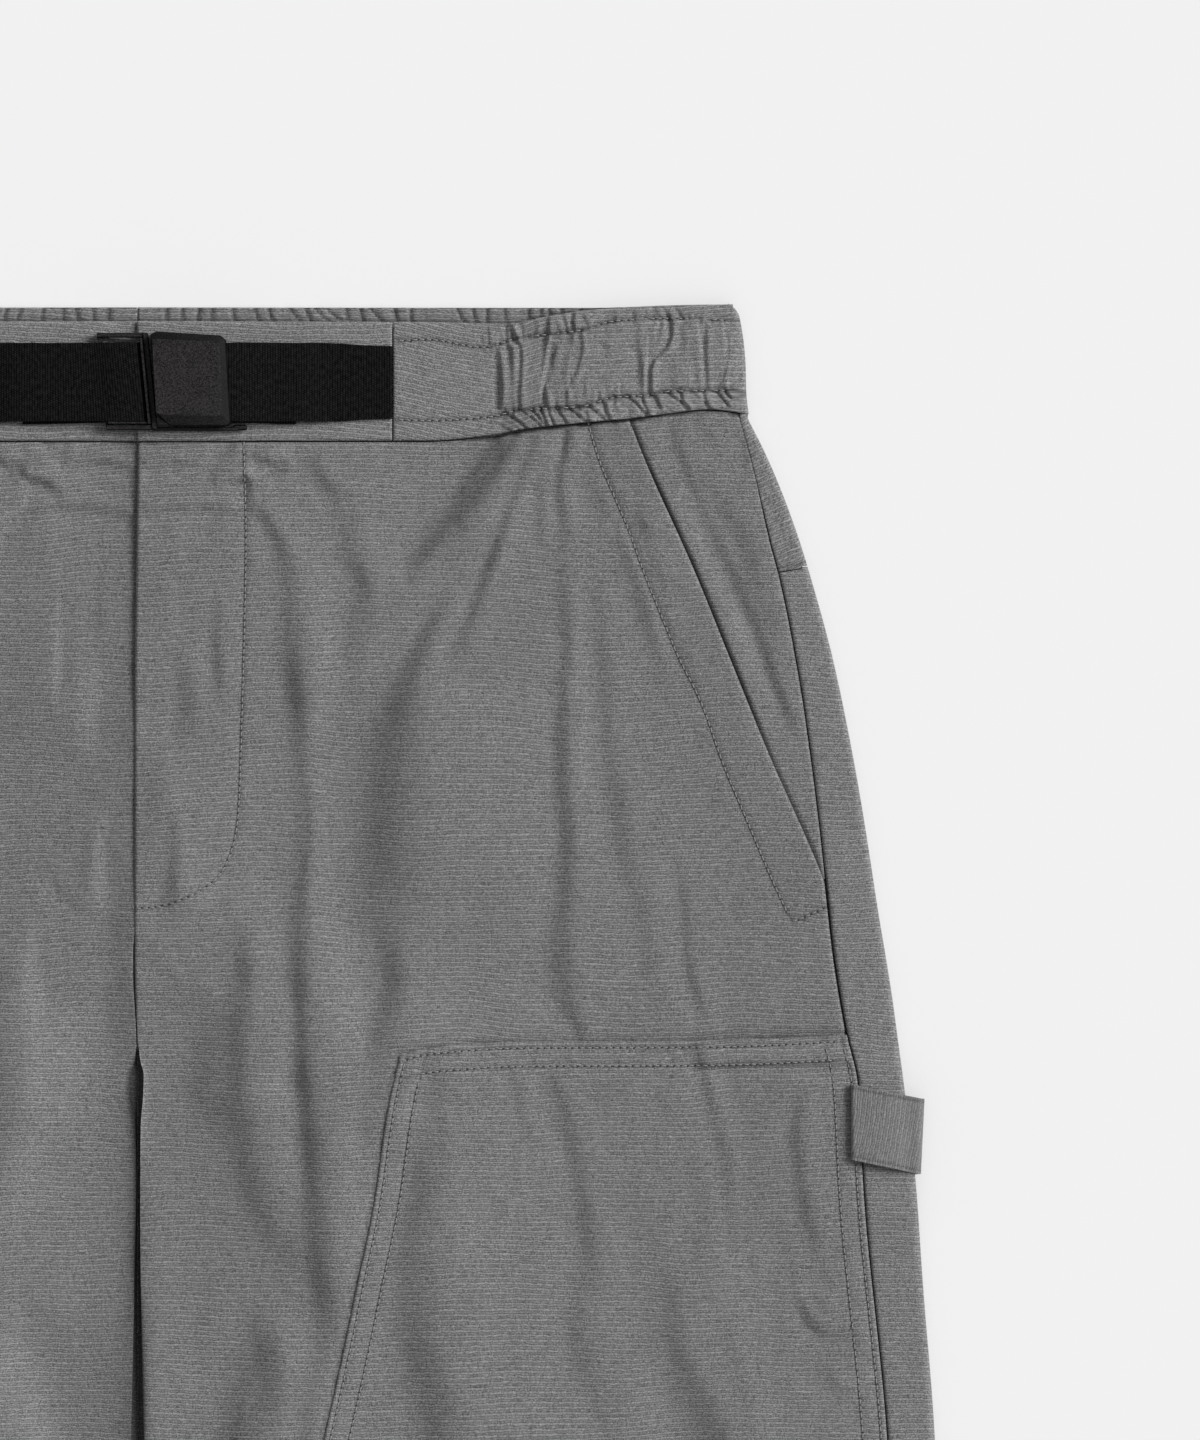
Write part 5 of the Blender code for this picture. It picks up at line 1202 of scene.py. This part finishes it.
def band_elastic(word, side):
    """The gathered section, a closed shell round the side fold to the centre back."""
    front = np.concatenate([BAND_SPLIT + SEAM_GAP / 2 + np.array(EDGE), np.linspace(101, 229, 250)])
    turn = np.radians(np.linspace(64, -90, 16))
    back = np.linspace(1, 0, 260)[1:]
    radius, flat = BAND_SIDE / 2, len(front)
    rows = []
    for v in shares((0, 0.006, 0.015, 0.03), 0.055, 56):
        centre = float(smooth(BAND_OUTER_EDGE, BAND_SIDE_DEPTH * v)) - radius
        x = np.concatenate([front, centre + radius * np.cos(turn), (centre - 0.2) * back + 0.2])
        beneath = np.arange(len(x)) >= flat + 8
        top = np.where(beneath, smooth(BAND_BACK_EDGE, x), smooth(BAND_FRONT_EDGE, x))
        low = np.where(beneath, smooth(BACK_WAIST_SEAM, x), smooth(WAIST_SEAM, x)) - SEAM_GAP / 2
        drop = top + (low - top) * v
        z = np.zeros(len(x))
        z[:flat] = band_surface(front, drop[:flat], side) - 0.7 * edge_drop(front - front[0], 0.9)
        z[flat:flat + 16] = radius + radius * np.sin(turn)
        edge = np.maximum(edge_drop(drop - top, 1.3), edge_drop(low - drop, 1.1))
        z = np.where(beneath, z, z - 0.9 * edge * fade(228, 236, x))
        length = along_of(x, z) + front[0]
        inner = band_gathers(x, drop, v, centre)
        z = np.where(beneath, z + 0.2 * (1 + noise(x / 2.3, v * 1.3, 57)), z)
        # Where the inner face's wall thins at gathers and puckers, it takes painted shade.
        rows.append((x, drop, z, length, np.where(beneath, inner, 1), np.where(beneath, 0.86 - inner, 0)))
    x, drop, z, length, wall, dark = (np.array(part) for part in zip(*rows))
    on_front = dark == 0
    from_upper, from_lower = drop - smooth(UPPER_ROW, x), drop - smooth(LOWER_ROW, x)
    gathered = (0.4 + 0.6 * ramp(FLAT_END - 4, FLAT_END + 5, x)) * on_front
    # Painted shade: in the puckered rows of stitches, the shadow of the front's top edge on the inner face
    # behind it, and in the hollows between gathers.
    in_upper = bell(from_upper, 0.8) * (1 - 0.75 * ramp(168, 186, x))
    in_lower = bell(from_lower, 1.05) * (1 - 0.45 * ramp(185, 200, x))
    row_shade = gathered * (0.7 * in_upper + 0.85 * in_lower) * (0.6 + 0.4 * noise(x / 1.1, 0, 93))
    edge_shadow = 0.5 * bell(drop - smooth(BAND_FRONT_EDGE, x) + 0.5, 0.9) * ~on_front
    hollow_shade = ramp(137, 142, x) * fade(164, 176, x) * on_front
    hollow_shade = 0.13 * (1 + noise(x / 2.4, drop / 15, 95)) * hollow_shade
    dark = np.maximum(0.8 * dark * fade(7, 10, drop), edge_shadow) + row_shade + hollow_shade
    tilt = -11 * fade(138, 160, x) * (z > 2)
    obj = cloth_piece("waistband_elastic_" + word, "cloth_band", side, x, drop, z,
                      weave_of(length, drop, 18 + side, tilt), np.clip(dark, 0, 0.8),
                      (from_upper, from_lower))
    return thicken(obj, BAND_WALL - 0.3, np.clip(wall, 0.12, 1.0))


def thicken(obj, wall, share=None, offset=-1.0):
    """Gives a sheet its wall, thinner where its share is less than 1."""
    solidify = obj.modifiers.new("wall", "SOLIDIFY")
    solidify.thickness = wall * MM
    solidify.offset = offset
    solidify.use_quality_normals = True
    if share is not None:
        group = obj.vertex_groups.new(name="wall")
        for i, value in enumerate(share.ravel()):
            group.add([i], float(value), "REPLACE")
        solidify.vertex_group = group.name
    return obj


# Webbing and the hammer loop.


def turned(x, z, radius, first, last, steps):
    """Points of x and z round a centre, from one angle to another in degrees."""
    angles = np.radians(np.linspace(first, last, steps + 1))
    return [(x + radius * math.cos(a), z + radius * math.sin(a)) for a in angles]


def belt(word, side, bar, tail_end, lean):
    """Webbing from its seam round the buckle's bar to its tail, which lies beneath."""
    on_band = BAND_TOP + 0.3 + WEBBING / 2
    radius = BAR_RADIUS + 0.25 + WEBBING / 2
    over = BAR_HEIGHT + radius
    heights = (
        (bar, over), (bar + 6, over - 0.05), (bar + 16, over - 1.4), (tail_end - 8, on_band + 2.4),
        (tail_end + 2, on_band + 1.8), (tail_end + 14, on_band + 0.1), (BAND_SPLIT, on_band),
    )
    on_top = np.linspace(BAND_SPLIT - SEAM_GAP / 2, bar, 90)[:-1]
    tail = np.linspace(0, 1, 30)[1:]
    path = [(x, z) for x, z in zip(on_top, smooth(heights, on_top))]
    path += turned(bar, BAR_HEIGHT, radius, 90, 270, 14)
    path += [(bar + (tail_end - bar) * share, BAR_HEIGHT - radius) for share in tail]
    x, z = np.array(path).T
    slip = np.concatenate([np.zeros(len(path) - len(tail)), TAIL_SLIP * tail])
    narrow = np.concatenate([BELT_TAPER * ramp(70, BAND_SPLIT, on_top), np.zeros(len(path) - len(on_top))])
    high = WEBBING_CENTRE - WEBBING_WIDTH / 2 + narrow + slip
    low = WEBBING_CENTRE + WEBBING_WIDTH / 2 - narrow + slip
    length = along_of(x, z)
    v = shares((0, 0.008, 0.02, 0.04), 0.07, 30)[:, None]
    drop = high + (low - high) * v + 0.12 * noise(length / 4.5, 0.3, 61) * (1 - 2 * v)
    across = x + lean * fade(bar + 4, bar + 34, x) * (drop - WEBBING_CENTRE)
    height = z + 0.06 * noise(across / 9, drop / 7, 62)
    obj = cloth_piece("belt_" + word, "webbing", side, across, drop, height,
                      (length, (low - high) * v))
    return thicken(obj, WEBBING, offset=0.0)


def hammer_loop(side):
    """The strip from its turned end in the side seam, over the edge and under the leg."""
    place = np.array([[273.0]]), np.array([[LOOP_TOP + LOOP_WIDTH / 2]])
    first = float(front_form(*place, side)[0, 0]) + LAYER_GAP + CLOTH + LOOP_GAP + LOOP_WALL / 2
    roll = LOOP_WALL / 2 + LOOP_GAP
    over = first + 2 * roll
    low = LOOP_WALL / 2 + 0.05
    fold_z = low + LOOP_FOLD_RADIUS
    heights = ((LOOP_ROLL, over), (283, over - 0.2), (291, 9.4), (LOOP_FOLD, fold_z + LOOP_FOLD_RADIUS))
    points = [(LOOP_ROLL + 3.2, first), (LOOP_ROLL + 1.4, first)]
    points += turned(LOOP_ROLL, first + roll, roll, 270, 90, 12)
    points += [(x, float(smooth(heights, x))) for x in np.linspace(LOOP_ROLL, LOOP_FOLD, 34)[1:-1]]
    points += turned(LOOP_FOLD, fold_z, LOOP_FOLD_RADIUS, 90, -90, 16)
    points += [(x, low) for x in np.linspace(LOOP_FOLD, 264, 16)[1:]]
    x, z = np.array(points).T
    left, right = LOOP_ROLL - roll, LOOP_FOLD + LOOP_FOLD_RADIUS
    high = LOOP_TOP + LOOP_SLOPE * np.where(z > fold_z, x - left, 2 * right - x - left)
    v = shares((0, 0.01, 0.025, 0.05), 0.08, 26)[:, None]
    drop = high + LOOP_WIDTH * v
    across = x + ramp(290, 299, x) * (0.3 - 1.4 * v)
    rows = LOOP_WIDTH * v - 1.4, LOOP_WIDTH * (1 - v) - 1.4
    sewn = bell(rows[0], 0.8) + bell(rows[1], 0.8)
    height = z - 0.2 * sewn * (z > BASE) + 0.05 * noise(across / 4, drop / 6, 71)
    # Painted shade near the fold round the leg's edge.
    obj = cloth_piece("hammer_loop", "cloth_loop", side, across, drop, height,
                      weave_of(drop, along_of(x, z), 33, 9), 0.12 * ramp(293, 297.5, across), rows)
    return thicken(obj, LOOP_WALL, offset=0.0)


# Topstitching.


def evenly(line, pitch):
    """Places every pitch along a line of (x, drop), and its direction there."""
    before = along_of(*line.T)
    at = np.arange(pitch / 2, before[-1] - pitch / 2, pitch)
    place, ahead, behind = (
        np.stack([np.interp(at + step, before, part) for part in line.T], axis=1)
        for step in (0.0, 0.3, -0.3))
    run = ahead - behind
    return place, run / np.hypot(*run.T)[:, None]


def stitches(word, rows, side):
    """Thread along rows of stitches, each a line of (x, drop) and its surface's heights."""
    half, sides = STITCH * STITCH_HALF, 5
    points = []
    for line, heights in rows:
        for i, ((x, drop), (run_x, run_drop)) in enumerate(zip(*evenly(line, STITCH))):
            lean = 0.11 + 0.05 * math.sin(i * 2.7)
            run_x, run_drop = run_x - run_drop * lean, run_drop + run_x * lean
            points.append((x, drop, heights[i], run_x, run_drop))
    x, drop, z, run_x, run_drop = np.array(points).T[:, :, None, None]
    along, radius, rise = (
        np.array(part)[:, None]
        for part in ((-1.0, -0.5, 0.5, 1.0), (0.5, 1.0, 1.0, 0.5), (-0.16, 0.18, 0.18, -0.16)))
    angle = np.linspace(0, 2 * math.pi, sides, endpoint=False)
    aside = radius * THREAD * np.cos(angle)
    body = metres(side * (x + run_x * along * half - run_drop * aside),
                  drop + run_drop * along * half + run_x * aside,
                  z + rise + radius * THREAD * np.sin(angle))
    # A dark patch at each needle hole: painted shade in the hole.
    along = STITCH / 2 + np.array((-HOLE_LENGTH, 0, HOLE_LENGTH, 0))[:, None]
    across = np.array((0, HOLE_WIDTH, 0, -HOLE_WIDTH))[:, None]
    holes = metres(side * (x + run_x * along - run_drop * across),
                   drop + run_drop * along + run_x * across, z + HOLE_RISE + 0 * along)
    quads = np.arange(4 * len(points)).reshape(-1, 4)[:, ::-side]
    piece_of("needle_holes_" + word, mesh_of("needle_holes", holes, quads), "needle_hole_shade", "cloth")
    ring = np.arange(sides)
    ahead = (ring + 1) % sides
    one = np.stack([ring, ahead, ahead + sides, ring + sides], axis=1)[:, ::-side]
    one = one + sides * np.arange(3)[:, None, None]
    every = one + 4 * sides * np.arange(len(points))[:, None, None, None]
    piece_of("stitching_" + word, mesh_of("stitching", body, every), "thread", "cloth")


def inset_line(rows, inset, low, high, across=False):
    """A line at an inset from an edge given as rows of drop and x, or of x and drop."""
    places = np.arange(low, high + 2.0, 4.0)
    values = smooth(rows, places) + inset
    return np.stack([places, values] if across else [values, places], axis=1)


def level_line(low, high, drop):
    return np.array([(x, drop) for x in np.arange(low, high, 6.0)])


def cloth_stitches(word, side):
    """Every row of topstitching on one side of the garment."""
    rows = []

    def sew(line, height, pitch=STITCH):
        x, drop = evenly(line, pitch)[0].T
        rows.append((line, height(x[None, :], drop[None, :], side)[0]))

    for line in POCKET_STITCH_LINES:
        sew(line, front_surface)
    if side > 0:
        sew(FLY_STITCH_LINE, front_surface)
    for row in (UPPER_ROW, LOWER_ROW):
        sew(inset_line(row, 0, BAND_SPLIT + 2, 230, across=True), band_surface, BAND_STITCH)
    for inset in KNEE_ROWS:
        sew(inset_line(KNEE_EDGE, inset * 1.03, 289 + inset, KNEE_BOTTOM - 3), knee_surface)
        sew(inset_line(KNEE_TOP, inset, 99 + inset, 270, across=True), knee_surface)
        sew(inset_line(SIDE_SEAM, -inset, 286, KNEE_BOTTOM - 3), knee_surface)
        sew(level_line(32.0, 288.0, KNEE_BOTTOM - inset), knee_surface)
    sew(level_line(50.0, 272.0, LENGTH - HEM_STITCH), lambda *place: front_surface(*place) + HEM_RISE)
    stitches(word, rows, side)


# Buckle.


def rounded_solid(name, layers, bevel, *nodes):
    """A closed solid through outlines of x and drop, each at its own height, with soft edges."""
    solid = bmesh.new()
    rings = []
    for z, outline in layers:
        x, drop = np.array(outline).T
        rings.append([solid.verts.new(point) for point in metres(x, drop, np.full(len(x), z))])
    for lower, upper in zip(rings, rings[1:]):
        for i in range(len(lower)):
            j = (i + 1) % len(lower)
            solid.faces.new((lower[i], lower[j], upper[j], upper[i]))
    solid.faces.new(rings[0])
    solid.faces.new(rings[-1])
    bmesh.ops.recalc_face_normals(solid, faces=solid.faces)
    mesh = bpy.data.meshes.new(name)
    solid.to_mesh(mesh)
    solid.free()
    mesh.shade_smooth()
    obj = piece_of(name, mesh, "buckle", "buckle", *nodes)
    soften = obj.modifiers.new("soft edges", "BEVEL")
    soften.width = bevel * MM
    soften.segments = 3
    soften.limit_method = "ANGLE"
    soften.angle_limit = math.radians(20)
    soften.harden_normals = True


def buckle():
    """The cover as a hollow cap, and the latch's frame, tongue and rail."""
    low, rim = BUCKLE_FLOOR, LATCH_RIM
    cap = (low, COVER_OUTLINE), (COVER_SHOULDER, COVER_OUTLINE), (COVER_TOP, COVER_FACE)
    rounded_solid("buckle_cover_cap", cap, 0.45, "buckle_cover")
    # Each part's spans of x, drop and z, its lean and how soft its edges are.
    parts = (
        ("rim", (4.3, 6.2), (11.2, 48.2), (low, rim + 0.3), LATCH_SKEW, 0.3),
        ("inner_rim", (2.9, 4.0), (13.2, 46.2), (low + 2.4, rim + 1.9), LATCH_SKEW, 0.25),
        ("arm_high", (-13.4, 5.0), (11.2, 12.9), (low + 0.4, rim - 0.2), LATCH_SKEW, 0.35),
        ("arm_low", (-13.4, 5.0), (46.4, 48.4), (low + 0.4, rim - 0.4), LATCH_SKEW, 0.35),
        ("sill", (-12.4, 3.4), (45.3, 46.2), (low + 2.4, rim + 0.9), LATCH_SKEW, 0.2),
        ("end", (-13.4, -11.4), (12.0, 47.4), (low + 1.7, low + 3.3), LATCH_SKEW, 0.3),
        ("rail", (6.0, 39.0), (47.3, 48.7), (low + 0.2, low + 2.6), 0.0, 0.4),
        ("hook", (37.0, 42.3), (46.4, 48.6), (low + 0.3, low + 2.6), 0.0, 0.8),
    )
    for name, (left, right), (high_end, low_end), heights, lean, bevel in parts:
        corners = (left, high_end), (right, high_end), (right, low_end), (left, low_end)
        outline = [(x + lean * (drop - WEBBING_CENTRE), drop) for x, drop in corners]
        nodes = ("buckle_latch",) if name == "rim" else ()
        rounded_solid("latch_" + name, [(z, outline) for z in heights], bevel, *nodes)


# Stage.

VIEW_X = 177.9  # the camera looks straight down at this x and drop
VIEW_DROP = 159.8
VIEW_LENGTH = 554.4  # what the long side of the picture takes in
CAMERA_HEIGHT = 3.0  # metres
SENSOR = 36.0
FILL = 0.36  # share of the light that comes from all round
KEY_HEIGHT = math.radians(35)  # the soft key light's height above the surface
KEY_SIDE = math.radians(22)  # and its direction, from +X toward +Y
KEY_SIZE = math.radians(30)


def stage():
    bpy.ops.mesh.primitive_plane_add(size=8.0, location=(0, 0, -0.0004))
    floor = bpy.context.object
    floor.name = "floor"
    finish = Finish("floor", 0.9, 0.1)
    finish.surface.inputs["Base Color"].default_value = FLOOR_COLOR
    floor.data.materials.append(finish.material)


def lights_and_camera():
    scene = bpy.context.scene
    scene.world = bpy.data.worlds.new("studio")
    scene.world.use_nodes = True
    background = scene.world.node_tree.nodes["Background"]
    background.inputs[0].default_value = (1, 1, 1, 1)
    background.inputs[1].default_value = FILL
    sun = bpy.data.lights.new("key", "SUN")
    sun.energy = (1 - FILL) * math.pi / math.sin(KEY_HEIGHT)
    sun.angle = KEY_SIZE
    key = bpy.data.objects.new("key", sun)
    key.rotation_euler = (0, math.pi / 2 - KEY_HEIGHT, KEY_SIDE)
    lens = bpy.data.cameras.new("camera")
    lens.sensor_width = SENSOR
    lens.lens = SENSOR * CAMERA_HEIGHT / (VIEW_LENGTH * MM)
    lens.clip_end = 20
    camera = bpy.data.objects.new("camera", lens)
    camera.location = (VIEW_X * MM, (LENGTH / 2 - VIEW_DROP) * MM, CAMERA_HEIGHT)
    for obj in (key, camera):
        scene.collection.objects.link(obj)
    scene.camera = camera
    scene.view_settings.view_transform = "Standard"
    scene.view_settings.look = "None"


def build():
    for word, side in (("left", 1), ("right", -1)):
        back_panel(word, side)
        yoke(word, side)
        hip_panel(word, side)
        front_panel(word, side)
        knee_panel(word, side)
        band_flat(word, side)
        band_elastic(word, side)
        cloth_stitches(word, side)
    belt("left", 1, BAR_COVER, 61.0, 0.0)
    belt("right", -1, -BAR_LATCH, 44.0, -LATCH_SKEW)
    hammer_loop(1)
    buckle()
    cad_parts["fly_zip"].material_slots[0].material = FINISHES["webbing"]


build()
stage()
lights_and_camera()
